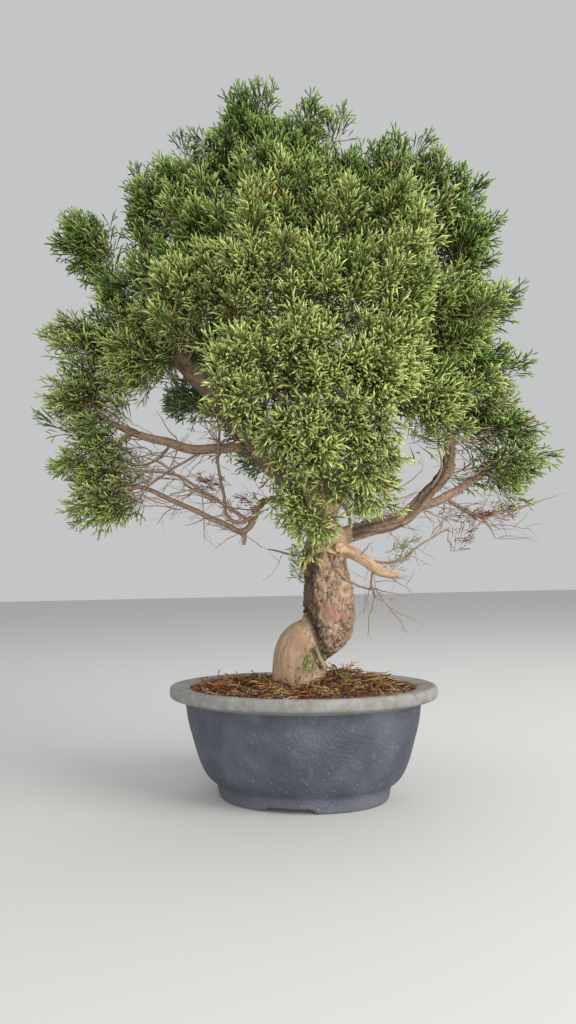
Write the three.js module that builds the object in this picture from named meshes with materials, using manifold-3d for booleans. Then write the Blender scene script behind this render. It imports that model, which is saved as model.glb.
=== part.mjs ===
// A kishu juniper bonsai: a kneed trunk with its limbs and foliage, growing in an oval stoneware pot.
// Millimetres, +Z up. Every place is measured from the middle of the pot on the ground, and the finished
// tree is moved as a whole so that the middle of the bottom of its box is the origin.
import * as THREE from 'three';
import { mergeVertices } from 'three/addons/utils/BufferGeometryUtils.js';
import Module from 'manifold-3d';

const wasm = await Module();
wasm.setup();

// Driving dimensions.
const GAP = 0.4; // clearance between two pieces that touch
const POT_RATIO = 0.708; // width of the oval to its length
const POT_TURN = -14; // degrees about Z, seen from above
const POT_SEGMENTS = 28;
const POT_OUTSIDE = [
  [75, 0], [77, 7], [84, 16], [92, 29], [99, 51], [104, 70], [105, 80], [109, 84.5], [118, 86.5],
  [120, 89], [120, 95], [118, 97], [103, 95.5],
];
const POT_INSIDE = [[98, 82], [92, 48], [78, 20], [66, 14.5], [0, 14.5]];
const POT_UNDERSIDE = [[0, 9], [61, 9], [63, 0]];
const FOOT_ARCH = { width: 42, height: 4 };
const DRAIN = { radius: 9, x: 38, sides: 16 };
const MESH = { side: 26, thickness: 1.2, hole: 5.5, pitch: 7.5, rows: 3 };

const SOIL_EDGE = 92.5; // height of the soil where it meets the pot
const SOIL_WIDER = 2.4; // radius at the top over that of the pot's inside just below
const SOIL_CROWN = 4; // rise towards the middle
const SOIL_MOUND = { x: 38, y: 4, spread: 24, rise: 13 }; // against the right of the trunk
const SOIL_RINGS = 3;
const SOIL_GRAIN = 0.9; // unevenness of the surface

// A spray of foliage is a lump with pointed tufts, its heart, and a few longer plumes. Lengths without a
// unit are parts of the spray's reach; lowest is a cosine to the growing way of the spray.
const CANOPY_HEART = new THREE.Vector3(0, 0, 350); // sprays grow away from here
const FULLNESS = 1.25; // every spray is this much larger than its row says, and sits deeper in the canopy
const ROOM_GAP = 0.8; // mm from a spray to the plane between it and its neighbour
const HEART = { behind: 0.28, radius: 0.62, uneven: 0.4 }; // behind the spray's middle
const TUFT = { length: 0.5, uneven: 0.6, lean: 0.5, scatter: 0.6, lowest: 0.12 };
const PLUME = { count: 3, start: 0.25, bend: 0.3, uneven: 0.16, lowest: -0.15 };
const PLUME_RINGS = [[0, 0.06], [0.58, 0.075], [1, 0]]; // place and radius, of its length
const SIDE_SHOOT = { length: 0.3, uneven: 0.5, lean: 1, scatter: 0.6 }; // length of the plume's length

// The branch to a spray starts at the limb nearest to a place behind the spray and ends in its heart.
const BRANCH = { from: 0.9, to: 0.12, sag: 0.1, arch: 0.06, root: 2.6, tip: 1.2, taper: 0.75 };
const LIMB_POINTS = 12; // places on a limb where a branch can start
const FINEST = 0.2; // mm, detail smaller than this is closed up

// Limbs: stations [x, y, z, radius] along a smooth curve, with the sides and steps of the solid.
const LIMBS = {
  knee: {
    sides: 12,
    steps: 7,
    knots: 0.04,
    stations: [
      [-2, 2, 60, 12], [-2, 1, 76, 22], [-1, 0, 92, 25], [-1, 0, 108, 25.5], [0, 0, 122, 25],
      [3, 0, 134, 22.5], [7, 0, 144, 17], [10, 0, 150, 9],
    ],
  },
  upper_trunk: {
    sides: 12,
    steps: 8,
    knots: 0.05,
    stations: [
      [14, 0, 125, 10], [20, 0, 134, 18.5], [25, 0, 145, 23], [27, 0, 158, 24.5], [27, 0, 172, 23.5],
      [25, 0, 189, 21.5], [23, 0, 207, 20.5], [27, 2, 222, 19.5], [26, 4, 238, 15],
    ],
  },
  leader: {
    sides: 7,
    steps: 9,
    stations: [
      [26, 3, 230, 14], [20, 8, 262, 12], [16, 12, 300, 10.5], [10, 12, 350, 9.5], [0, 8, 410, 8],
      [-14, 5, 470, 6.5], [-24, 2, 530, 4.5], [-30, 0, 596, 2.4],
    ],
  },
  left_limb: {
    sides: 8,
    steps: 11,
    stations: [
      [27, -2, 226, 13], [14, -5, 257, 12], [-6, -12, 279, 11], [-30, -18, 301, 10.5], [-49, -20, 323, 10],
      [-67, -20, 351, 9.5], [-84, -18, 370, 9], [-103, -15, 391, 8], [-117, -10, 419, 6.5],
      [-128, -4, 452, 5], [-134, 0, 490, 3.4], [-128, 4, 524, 2.2],
    ],
  },
  right_limb: {
    sides: 7,
    steps: 10,
    stations: [
      [28, 0, 222, 9], [39, -2, 227, 8.2], [61, -8, 233, 7.6], [92, -12, 241, 7.4], [105, -12, 251, 7],
      [120, -10, 267, 6.6], [136, -8, 285, 6], [142, 0, 314, 5.4], [149, 5, 352, 4.6], [152, 5, 400, 3.6],
      [150, 2, 450, 2.6],
    ],
  },
  jin: {
    sides: 8,
    steps: 5,
    stations: [
      [30, -4, 212, 7], [44, -10, 214, 6], [58, -16, 206, 5], [71, -22, 195, 4.6], [87, -26, 192, 4.4],
    ],
  },
  knob: { sides: 8, steps: 1, stations: [[36, -10, 215, 5.5], [37, -25, 217, 5]] },
  right_low: {
    sides: 6,
    steps: 4,
    stations: [[103, -12, 249, 4.2], [138, -10, 262, 3.6], [167, -5, 281, 2.8], [184, 0, 296, 2.2]],
  },
  right_dead: {
    sides: 4,
    steps: 6,
    stations: [
      [133, -10, 260, 2.1], [150, -10, 248, 1.8], [164, -10, 243, 1.6], [191, -8, 247, 1.3],
      [221, -5, 256, 0.7],
    ],
  },
  left_low: {
    sides: 6,
    steps: 6,
    stations: [
      [-44, -19, 310, 4.8], [-85, -20, 306, 4.4], [-112, -18, 313, 4], [-139, -15, 322, 3.4],
      [-163, -8, 333, 2.5], [-182, -4, 348, 2],
    ],
  },
  left_fork: {
    sides: 5,
    steps: 3,
    stations: [[-146, -13, 324, 2.6], [-160, -13, 313, 2.2], [-180, -10, 301, 1.7]],
  },
  left_long: {
    sides: 5,
    steps: 10,
    stations: [
      [-4, -10, 264, 3.4], [-31, -20, 257, 3.1], [-38, -25, 243, 2.9], [-47, -25, 232, 2.6],
      [-68, -25, 241, 2.5], [-102, -25, 257, 2.2], [-137, -25, 273, 1.9], [-158, -22, 277, 1.6],
      [-176, -20, 268, 1.3],
    ],
  },
  left_stub: { sides: 4, steps: 1, stations: [[-46, -25, 233, 2.2], [-47, -26, 221, 1.5]] },
  left_bow: {
    sides: 4,
    steps: 6,
    stations: [
      [-30, -22, 256, 1.8], [-38, -28, 246, 1.7], [-50, -30, 240, 1.6], [-61, -28, 246, 1.5],
      [-64, -26, 262, 1.4], [-68, -24, 300, 1.2], [-66, -24, 330, 0.8],
    ],
  },
  front_limb: {
    sides: 6,
    steps: 5,
    stations: [
      [24, -6, 244, 8], [22, -40, 268, 6.6], [20, -80, 288, 5.4], [24, -112, 312, 4.2], [28, -126, 345, 2.8],
    ],
  },
  front_high: {
    sides: 5,
    steps: 4,
    stations: [[11, 8, 345, 6], [10, -34, 378, 4.8], [4, -72, 402, 3.8], [0, -98, 420, 2.6]],
  },
  front_top: {
    sides: 5,
    steps: 3,
    stations: [[-8, 4, 446, 4.2], [6, -24, 472, 3.4], [14, -46, 488, 2.4]],
  },
  back_right: {
    sides: 6,
    steps: 4,
    stations: [[26, 4, 238, 8], [42, 40, 272, 6.4], [66, 80, 308, 5], [88, 104, 350, 3]],
  },
  back_left: {
    sides: 6,
    steps: 4,
    stations: [[17, 12, 292, 7], [-10, 48, 328, 5.6], [-42, 86, 356, 4.2], [-64, 112, 388, 2.8]],
  },
  back_high: {
    sides: 5,
    steps: 4,
    stations: [[4, 8, 386, 5.6], [20, 44, 412, 4.6], [30, 84, 438, 3.6], [34, 106, 462, 2.4]],
  },
  right_high: {
    sides: 5,
    steps: 5,
    stations: [
      [14, 12, 322, 6.6], [48, 8, 376, 5.6], [84, 4, 424, 4.4], [116, 2, 480, 3.2], [124, 0, 524, 2.2],
    ],
  },
  left_high: {
    sides: 5,
    steps: 4,
    stations: [[-2, 8, 416, 5], [-32, 10, 446, 4.2], [-62, 10, 486, 3.4], [-78, 10, 540, 2.2]],
  },
};
// Limbs that carry no foliage.
const BARE_LIMBS = ['knee', 'upper_trunk', 'jin', 'knob', 'right_dead', 'left_stub', 'left_bow'];

// Bare twigs, in the same form.
const TWIGS = [
  [[59, -17, 205, 1.3], [85, -20, 203, 1.2], [107, -20, 218, 1], [134, -20, 232, 0.6]],
  [[36, -16, 194, 1.2], [56, -20, 180, 1], [70, -20, 180, 0.6]],
  [[66, -20, 198, 1.1], [64, -22, 184, 0.9], [67, -22, 172, 0.6]],
  [[6, -10, 210, 1.2], [-11, -14, 213, 1], [-27, -14, 217, 0.6]],
  [[-158, -22, 277, 1.2], [-163, -18, 262, 1], [-173, -15, 244, 0.8], [-178, -12, 228, 0.5]],
  [
    [-40, -25, 240, 1.6], [-72, -30, 262, 1.4], [-112, -30, 284, 1.2], [-150, -24, 288, 0.9],
    [-172, -16, 290, 0.6],
  ],
  [[-62, -29, 256, 1.3], [-88, -34, 268, 1.1], [-118, -34, 294, 0.8], [-134, -30, 300, 0.5]],
  [[-85, -20, 304, 1.4], [-104, -26, 292, 1.1], [-128, -28, 276, 0.8], [-140, -26, 268, 0.5]],
  [[-112, -18, 311, 1.3], [-128, -8, 298, 1], [-150, -2, 296, 0.6]],
  [[118, -10, 263, 1.4], [128, -22, 284, 1.1], [124, -30, 312, 0.7]],
  [[140, -2, 304, 1.4], [158, -8, 318, 1.1], [176, -12, 322, 0.7]],
  [[48, -6, 230, 1.8], [44, -14, 250, 1.5], [30, -24, 270, 1.1], [26, -34, 290, 0.7]],
  [[70, -9, 235, 1.6], [74, -16, 252, 1.3], [84, -24, 272, 0.8]],
  [[160, -10, 244, 1.1], [172, -12, 232, 0.8], [176, -12, 222, 0.5]],
];

// Foliage sprays: [x, y, z, reach] of each one's middle, with a growing direction where it doesn't simply
// grow away from the heart of the canopy, and how slim it is across that direction.
const SPRAYS = {
  leader: [[-37, 0, 638, 42, [-0.12, 0, 1], 0.62], [8, -8, 600, 40], [-72, 8, 598, 40]],
  crown: [
    [56, 6, 590, 38], [108, 8, 584, 40], [-124, 4, 560, 42], [150, -4, 548, 40], [-18, -40, 564, 36],
    [-20, 68, 570, 44], [62, 74, 550, 44], [-92, 70, 520, 44],
  ],
  right: [
    [172, -6, 502, 40], [178, 10, 450, 38], [188, 4, 398, 38], [188, 0, 350, 34],
    [214, 8, 321, 28, [1, 0, 0.3]], [206, -10, 284, 30, [1, 0, -0.2]], [136, 78, 474, 44],
    [148, 76, 396, 42],
  ],
  left: [
    [-200, 0, 514, 42, [-0.75, 0, 0.65], 0.62],
    [-168, -4, 468, 38], [-198, 0, 418, 36], [-154, -24, 400, 34], [-210, 0, 360, 37, [-1, 0, 0.1]],
    [-204, -12, 300, 38, [-1, 0, -0.2]], [-188, -22, 256, 31, [-0.6, 0, -0.8]], [-140, 66, 446, 44],
  ],
  front: [
    [-26, -66, 520, 42], [-86, -54, 508, 42], [38, -66, 512, 42], [98, -56, 512, 42], [-98, -84, 440, 44],
    [-40, -118, 444, 44], [26, -128, 432, 44], [90, -106, 440, 44], [142, -62, 420, 42],
  ],
  skirt: [
    [-40, -146, 344, 38, [-0.4, -0.6, 0]], [16, -158, 358, 40, [0, -1, 0]],
    [70, -140, 356, 42, [0.3, -1, 0]], [118, -96, 348, 40, [0.6, -0.8, 0]],
    [0, -148, 290, 38, [-0.3, -1, -0.3]], [54, -140, 290, 38, [0.3, -1, -0.3]],
    [4, -116, 240, 30, [-0.2, -0.8, -0.6]], [58, -114, 254, 30, [0.4, -0.7, -0.6]],
  ],
  back: [
    [20, 122, 490, 46], [-58, 118, 462, 44], [-18, 150, 408, 44], [-102, 112, 392, 42], [92, 124, 412, 44],
    [44, 150, 350, 40], [-48, 136, 338, 38],
  ],
};

const COLOURS = {
  pot: 0x46505c,
  mesh: 0x23262a,
  soil: 0x3b2c22,
  wood: 0x8a6b52,
  leafDark: 0x3c5a2a,
  leafPale: 0x8f9f5a,
};

// The same row of random numbers each time.
function randomRow(seed) {
  let state = seed;
  return () => {
    state = (state + 0x6d2b79f5) | 0;
    let mixed = Math.imul(state ^ (state >>> 15), 1 | state);
    mixed = (mixed + Math.imul(mixed ^ (mixed >>> 7), 61 | mixed)) ^ mixed;
    return ((mixed ^ (mixed >>> 14)) >>> 0) / 4294967296;
  };
}

function randomStep(random, size) {
  return new THREE.Vector3(random() - 0.5, random() - 0.5, random() - 0.5).multiplyScalar(size);
}

// The corners of a closed geometry, each once, and its faces as triples of corners.
function cornersAndFaces(geometry) {
  const merged = mergeVertices(geometry.clone().deleteAttribute('normal').deleteAttribute('uv'), 1e-4);
  const { position } = merged.attributes;
  const corners = [];
  for (let i = 0; i < position.count; i += 1) {
    corners.push(new THREE.Vector3().fromBufferAttribute(position, i));
  }
  const faces = [];
  for (let i = 0; i < merged.index.count; i += 3) {
    faces.push([0, 1, 2].map((corner) => merged.index.getX(i + corner)));
  }
  return [corners, faces];
}

function solidFrom(corners, faces) {
  const vertProperties = new Float32Array(corners.flatMap((corner) => corner.toArray()));
  const triVerts = new Uint32Array(faces.flat());
  return new wasm.Manifold(new wasm.Mesh({ numProp: 3, vertProperties, triVerts }));
}

function solidOf(geometry) {
  return solidFrom(...cornersAndFaces(geometry));
}

function middleOf(face, corners) {
  const [a, b, c] = face.map((corner) => corners[corner]);
  return a.clone().add(b).add(c).divideScalar(3);
}

// Draws a face out to a point: adds the point to the corners and returns the three faces around it.
function drawnOut([a, b, c], point, corners) {
  corners.push(point);
  const apex = corners.length - 1;
  return [[a, b, apex], [b, c, apex], [c, a, apex]];
}

function geometryOf(solid) {
  const { vertProperties, triVerts } = solid.getMesh();
  const geometry = new THREE.BufferGeometry();
  geometry.setAttribute('position', new THREE.BufferAttribute(vertProperties, 3));
  geometry.setIndex(new THREE.BufferAttribute(triVerts, 1));
  return geometry;
}

// The largest connected body, with its finest slivers closed up.
function mainBody(solid) {
  const bodies = solid.decompose();
  bodies.sort((a, b) => b.volume() - a.volume());
  return bodies[0].simplify(FINEST);
}

function joined(solids) {
  return wasm.Manifold.union(solids);
}

function piece(name, solid, color, roughness) {
  const material = new THREE.MeshStandardMaterial({ color, roughness, metalness: 0 });
  const mesh = new THREE.Mesh(geometryOf(solid), material);
  mesh.name = name;
  return mesh;
}

// Turns a shape modelled along the pot's own axes to where the pot stands.
function turned(geometry) {
  return geometry.rotateZ(THREE.MathUtils.degToRad(POT_TURN));
}

// An oval solid: a profile of [radius at the long end, height] turned about Z, then narrowed.
function oval(profile) {
  const points = profile.map(([radius, height]) => new THREE.Vector2(radius, height));
  const geometry = new THREE.LatheGeometry(points, POT_SEGMENTS);
  geometry.rotateX(Math.PI / 2);
  geometry.scale(1, POT_RATIO, 1);
  return geometry;
}

function makePot() {
  const body = solidOf(turned(oval([...POT_UNDERSIDE, ...POT_OUTSIDE, ...POT_INSIDE])));
  const length = 2 * POT_OUTSIDE[0][0];
  const arch = new THREE.BoxGeometry(FOOT_ARCH.width, length, 2 * FOOT_ARCH.height);
  const cuts = [solidOf(turned(arch))];
  for (const side of [-1, 1]) {
    const drain = new THREE.CylinderGeometry(DRAIN.radius, DRAIN.radius, 20, DRAIN.sides);
    drain.rotateX(Math.PI / 2);
    drain.translate(side * DRAIN.x, 0, POT_UNDERSIDE[0][1]);
    cuts.push(solidOf(turned(drain)));
  }
  return body.subtract(joined(cuts));
}

const FLOOR = POT_INSIDE.at(-1)[1];

// A square of plastic mesh over a drain hole: a thin plate with rows of square holes.
function makeDrainMesh(side) {
  const middle = FLOOR + GAP + MESH.thickness / 2;
  const plate = new THREE.BoxGeometry(MESH.side, MESH.side, MESH.thickness);
  plate.translate(side * DRAIN.x, 0, middle);
  const holes = [];
  for (let hole = 0; hole < MESH.rows * MESH.rows; hole += 1) {
    const x = ((hole % MESH.rows) - (MESH.rows - 1) / 2) * MESH.pitch;
    const y = (Math.floor(hole / MESH.rows) - (MESH.rows - 1) / 2) * MESH.pitch;
    const cut = new THREE.BoxGeometry(MESH.hole, MESH.hole, 3 * MESH.thickness);
    cut.translate(side * DRAIN.x + x, y, middle);
    holes.push(solidOf(turned(cut)));
  }
  return solidOf(turned(plate)).subtract(joined(holes));
}

// Height of the soil at a place, from 0 at the pot's wall to its full form inwards.
function soilHeight(x, y, inward) {
  const away = Math.hypot(x - SOIL_MOUND.x, y - SOIL_MOUND.y) / SOIL_MOUND.spread;
  const mound = SOIL_MOUND.rise * Math.exp(-away * away);
  const grain = SOIL_GRAIN * (Math.sin(x * 0.31 + y * 0.17) + Math.sin(y * 0.37 - x * 0.23));
  return SOIL_EDGE + Math.min(1, 4 * inward) * (SOIL_CROWN * Math.min(1, 2 * inward) + mound + grain);
}

function makeSoil(wood) {
  const wallGap = GAP / POT_RATIO;
  const wall = POT_INSIDE.slice(1, -1).map(([radius, height]) => [radius - wallGap, height + GAP]);
  wall.reverse();
  wall.push([POT_INSIDE[0][0] - wallGap, POT_INSIDE[0][1]]);
  const topRadius = POT_INSIDE[0][0] + SOIL_WIDER;
  const rings = [];
  for (let ring = 0; ring <= SOIL_RINGS; ring += 1) {
    rings.push([topRadius * (1 - ring / SOIL_RINGS), SOIL_EDGE]);
  }
  const geometry = oval([[0, FLOOR + GAP], ...wall, ...rings]);
  const position = geometry.attributes.position;
  for (let i = 0; i < position.count; i += 1) {
    const x = position.getX(i);
    const y = position.getY(i);
    const inward = 1 - Math.hypot(x, y / POT_RATIO) / topRadius;
    if (position.getZ(i) > SOIL_EDGE - 0.01) {
      position.setZ(i, soilHeight(x, y, Math.max(0, inward)));
    }
  }
  let soil = solidOf(turned(geometry));
  for (const side of [-1, 1]) {
    const roomSide = MESH.side + 2 * GAP;
    const room = new THREE.BoxGeometry(roomSide, roomSide, 2 * (MESH.thickness + 2 * GAP));
    room.translate(side * DRAIN.x, 0, FLOOR);
    soil = soil.subtract(solidOf(turned(room)));
  }
  return mainBody(soil.subtract(wood));
}

function curveThrough(stations) {
  const points = stations.map(([x, y, z]) => new THREE.Vector3(x, y, z));
  return new THREE.CatmullRomCurve3(points, false, 'centripetal');
}

// The radius at a place on the curve through the stations, 0 at the first one and 1 at the last.
function radiusAt(stations, place) {
  const along = place * (stations.length - 1);
  const before = Math.min(Math.floor(along), stations.length - 2);
  return THREE.MathUtils.lerp(stations[before][3], stations[before + 1][3], along - before);
}

// A closed limb: a cylinder bent along a smooth curve through the stations, with their radii. It can be
// thickened all round, and knots make it uneven round its girth.
function limbGeometry({ stations, sides, steps, knots = 0 }, thicken = 0) {
  const curve = curveThrough(stations);
  const centres = curve.getSpacedPoints(steps);
  const frames = curve.computeFrenetFrames(steps, false);
  const geometry = new THREE.CylinderGeometry(1, 1, 1, sides, steps);
  const position = geometry.attributes.position;
  const place = new THREE.Vector3();
  for (let i = 0; i < position.count; i += 1) {
    const u = position.getY(i) + 0.5;
    const step = Math.round(u * steps);
    const radius = radiusAt(stations, curve.getUtoTmapping(u));
    const angle = Math.atan2(position.getX(i), position.getZ(i));
    const uneven = 1 + knots * (Math.sin(3 * angle + 9 * u) + Math.sin(2 * angle - 14 * u));
    const girth = radius * uneven + thicken;
    const end = step === 0 ? -thicken : step === steps ? thicken : 0;
    place.copy(centres[step]);
    place.addScaledVector(frames.binormals[step], position.getX(i) * girth);
    place.addScaledVector(frames.normals[step], position.getZ(i) * girth);
    place.addScaledVector(frames.tangents[step], end);
    position.setXYZ(i, place.x, place.y, place.z);
  }
  return geometry;
}

// A plume: a three-sided spindle bent from root to tip, with pointed side shoots drawn out of the faces
// round its tip.
function plumeSolid(spray, root, middle, tip, random) {
  const curve = new THREE.QuadraticBezierCurve3(root, middle, tip);
  const along = tip.clone().sub(root);
  const length = along.length();
  along.normalize();
  const across = randomStep(random, 1).cross(along).normalize();
  const third = new THREE.Vector3().crossVectors(across, along);
  const last = PLUME_RINGS.length - 1;
  const [flat, faces] = cornersAndFaces(new THREE.ConeGeometry(1, 1, 3, last));
  const rows = flat.map((corner) => Math.round((corner.y + 0.5) * last));
  const corners = flat.map((corner, i) => {
    const [place, girth] = PLUME_RINGS[rows[i]];
    const onAxis = Math.hypot(corner.x, corner.z) < 0.01;
    const radius = onAxis ? 0 : girth * length;
    const angle = Math.atan2(corner.x, corner.z);
    const point = curve.getPoint(place).addScaledVector(across, radius * Math.sin(angle));
    return keptIn(spray, point.addScaledVector(third, radius * Math.cos(angle)));
  });
  const tipMiddle = curve.getPoint((PLUME_RINGS[last - 1][0] + PLUME_RINGS[last][0]) / 2);
  const drawn = faces.flatMap((face) => {
    if (face.some((corner) => rows[corner] < last - 1)) {
      return [face];
    }
    const centre = middleOf(face, corners);
    const way = centre.clone().sub(tipMiddle).projectOnPlane(along).normalize();
    way.addScaledVector(along, SIDE_SHOOT.lean + SIDE_SHOOT.scatter * random()).normalize();
    const reach = SIDE_SHOOT.length * length * (1 + SIDE_SHOOT.uneven * (random() - 0.5));
    return drawnOut(face, keptIn(spray, centre.addScaledVector(way, reach)), corners);
  });
  return solidFrom(corners, drawn);
}

// All sprays as records: where each is, how it grows and the planes that part it from its neighbours.
function laySprays() {
  const sprays = [];
  for (const [group, rows] of Object.entries(SPRAYS)) {
    rows.forEach(([x, y, z, outline, grow, slim = 1], row) => {
      const reach = outline * FULLNESS;
      const middle = new THREE.Vector3(x, y, z);
      const along = grow ? new THREE.Vector3(...grow) : middle.clone().sub(CANOPY_HEART);
      along.normalize();
      middle.addScaledVector(along, outline - reach);
      sprays.push({ name: `spray_${group}_${row + 1}`, middle, reach, along, slim, planes: [] });
    });
  }
  for (const spray of sprays) {
    for (const other of sprays) {
      const across = other.middle.clone().sub(spray.middle);
      const apart = across.length();
      if (other !== spray && apart < 1.2 * (spray.reach + other.reach)) {
        const share = (apart * apart + spray.reach ** 2 - other.reach ** 2) / (2 * apart);
        spray.planes.push({ across: across.normalize(), share });
      }
    }
  }
  return sprays;
}

// A point of a spray, drawn towards the spray's middle where it would leave its own room.
function keptIn(spray, point) {
  const step = point.clone().sub(spray.middle);
  let part = 1;
  for (const { across, share } of spray.planes) {
    const towards = step.dot(across);
    if (towards > share - ROOM_GAP) {
      part = Math.min(part, (share - ROOM_GAP) / towards);
    }
  }
  return step.multiplyScalar(part).add(spray.middle);
}

// The ways its plumes grow, spread evenly over the side of a spray that faces along, by the golden angle.
function plumeDirections(along, turn) {
  const across = new THREE.Vector3(along.y, along.z, along.x).cross(along).normalize();
  const third = new THREE.Vector3().crossVectors(along, across);
  const golden = Math.PI * (3 - Math.sqrt(5));
  const directions = [];
  for (let i = 0; i < PLUME.count; i += 1) {
    const height = 1 - ((1 - PLUME.lowest) * (i + 0.35)) / PLUME.count;
    const ring = Math.sqrt(1 - height * height);
    const angle = i * golden + turn;
    const direction = along.clone().multiplyScalar(height);
    direction.addScaledVector(across, ring * Math.cos(angle));
    direction.addScaledVector(third, ring * Math.sin(angle));
    directions.push(direction);
  }
  return directions;
}

// A spray is narrowed across its growing direction by how slim it is.
function slimmed(spray, step) {
  const forward = step.dot(spray.along);
  return step.multiplyScalar(spray.slim).addScaledVector(spray.along, forward * (1 - spray.slim));
}

// The heart of a spray: an uneven lump whose outer faces are drawn out into pointed tufts.
function heartSolid(spray, seat, random) {
  const ball = new THREE.OctahedronGeometry(1, 1);
  ball.rotateX(random() * 3).rotateZ(random() * 3);
  const [steps, faces] = cornersAndFaces(ball);
  const corners = steps.map((step) => {
    const radius = spray.reach * HEART.radius * (1 + HEART.uneven * (random() - 0.5));
    return keptIn(spray, slimmed(spray, step.multiplyScalar(radius)).add(seat));
  });
  const drawn = faces.flatMap((face) => {
    const centre = middleOf(face, corners);
    const way = centre.clone().sub(seat).normalize();
    if (way.dot(spray.along) < TUFT.lowest) {
      return [face];
    }
    way.addScaledVector(spray.along, TUFT.lean).add(randomStep(random, TUFT.scatter)).normalize();
    const length = TUFT.length * spray.reach * (1 + TUFT.uneven * (random() - 0.5));
    return drawnOut(face, keptIn(spray, centre.addScaledVector(way, length)), corners);
  });
  return solidFrom(corners, drawn);
}

function spraySolid(spray, random) {
  const seat = spray.middle.clone().addScaledVector(spray.along, -HEART.behind * spray.reach);
  const solids = [heartSolid(spray, seat, random)];
  for (const direction of plumeDirections(spray.along, 2 * Math.PI * random())) {
    const reach = spray.reach * (1 + PLUME.uneven * (random() - 0.5));
    const tip = keptIn(spray, slimmed(spray, direction.multiplyScalar(reach)).add(spray.middle));
    const start = seat.clone().lerp(tip, PLUME.start);
    const middle = start.clone().lerp(tip, 0.5);
    middle.addScaledVector(randomStep(random, PLUME.bend), start.distanceTo(tip));
    solids.push(plumeSolid(spray, start, middle, tip, random));
  }
  return joined(solids);
}

// Places on the leafy limbs from which the branches of the sprays can grow.
function limbPoints() {
  const points = [];
  for (const [name, { stations }] of Object.entries(LIMBS)) {
    const curve = curveThrough(stations);
    for (let i = 1; i <= LIMB_POINTS && !BARE_LIMBS.includes(name); i += 1) {
      const place = i / LIMB_POINTS;
      points.push({ point: curve.getPoint(place), radius: radiusAt(stations, place) });
    }
  }
  return points;
}

// The branch that carries a spray: from the limb nearest to a place behind the spray, into its heart.
function branchTo(spray, points) {
  const seat = spray.middle.clone().addScaledVector(spray.along, -BRANCH.to * spray.reach);
  const wanted = spray.middle.clone().addScaledVector(spray.along, -BRANCH.from * spray.reach);
  let nearest = points[0];
  for (const candidate of points) {
    if (candidate.point.distanceTo(wanted) < nearest.point.distanceTo(wanted)) {
      nearest = candidate;
    }
  }
  const from = nearest.point;
  const middle = from.clone().lerp(seat, 0.5).addScaledVector(spray.along, -BRANCH.sag * spray.reach);
  middle.z += BRANCH.arch * from.distanceTo(seat);
  const root = Math.min(BRANCH.root, BRANCH.taper * nearest.radius);
  return {
    sides: 3,
    steps: 2,
    stations: [[...from, root], [...middle, BRANCH.taper * root], [...seat, BRANCH.tip]],
  };
}

function woodSolid(sprays, thicken) {
  const points = limbPoints();
  const limbs = [
    ...Object.values(LIMBS),
    ...TWIGS.map((stations) => ({ sides: 3, steps: stations.length, stations })),
    ...sprays.map((spray) => branchTo(spray, points)),
  ];
  return joined(limbs.map((limb) => solidOf(limbGeometry(limb, thicken))));
}

// The foliage is paler towards the front and the bottom.
function leafColour({ middle }) {
  const pale = THREE.MathUtils.clamp(0.5 - middle.y / 220 - (middle.z - 430) / 500, 0, 1);
  return new THREE.Color(COLOURS.leafDark).lerp(new THREE.Color(COLOURS.leafPale), pale);
}

const sprays = laySprays();
const wood = woodSolid(sprays, 0);
const woodRoom = woodSolid(sprays, GAP);

const tree = new THREE.Group();
tree.add(piece('pot', makePot(), COLOURS.pot, 0.6));
tree.add(piece('drain_mesh_left', makeDrainMesh(-1), COLOURS.mesh, 0.7));
tree.add(piece('drain_mesh_right', makeDrainMesh(1), COLOURS.mesh, 0.7));
tree.add(piece('soil', makeSoil(woodRoom), COLOURS.soil, 0.95));
tree.add(piece('trunk', mainBody(wood), COLOURS.wood, 0.85));
sprays.forEach((spray, row) => {
  const foliage = spraySolid(spray, randomRow(100 + row)).subtract(woodRoom);
  tree.add(piece(spray.name, mainBody(foliage), leafColour(spray), 0.8));
});

const box = new THREE.Box3().setFromObject(tree);
const centre = box.getCenter(new THREE.Vector3());
tree.position.set(-centre.x, -centre.y, -box.min.z);

export default tree;
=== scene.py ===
# %% [markdown]
# # A kishu juniper bonsai in an oval pot
#
# The frame of this lesson is a measured model of a small juniper: a pot, its soil, a kneed trunk with
# limbs, and one plain solid for each spray of foliage. Here every one of them gets the surface of the real
# thing: matt stoneware, flaking bark, scale leaves and litter.

import bpy
import numpy as np
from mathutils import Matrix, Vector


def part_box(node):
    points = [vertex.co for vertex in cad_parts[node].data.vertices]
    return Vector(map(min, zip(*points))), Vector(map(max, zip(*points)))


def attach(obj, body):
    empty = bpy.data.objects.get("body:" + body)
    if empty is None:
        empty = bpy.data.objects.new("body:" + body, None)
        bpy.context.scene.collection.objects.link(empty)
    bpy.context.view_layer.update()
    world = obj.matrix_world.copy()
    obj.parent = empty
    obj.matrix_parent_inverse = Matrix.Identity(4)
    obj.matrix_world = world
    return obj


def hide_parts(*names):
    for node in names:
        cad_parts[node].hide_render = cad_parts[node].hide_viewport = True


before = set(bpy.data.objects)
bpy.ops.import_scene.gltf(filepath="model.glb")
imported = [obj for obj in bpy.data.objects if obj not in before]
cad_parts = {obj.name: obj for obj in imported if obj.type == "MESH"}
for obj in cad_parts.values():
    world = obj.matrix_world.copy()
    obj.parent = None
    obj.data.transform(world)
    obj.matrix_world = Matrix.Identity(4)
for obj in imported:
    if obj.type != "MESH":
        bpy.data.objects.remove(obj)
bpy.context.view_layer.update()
pot_low, pot_high = (np.array(corner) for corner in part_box("pot"))
POT_MIDDLE = np.array([*((pot_low + pot_high) / 2)[:2], 0.0])
MM = 0.001
print("nodes in the frame:", len(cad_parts), "pot middle in mm:", np.round(POT_MIDDLE / MM, 2))

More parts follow.
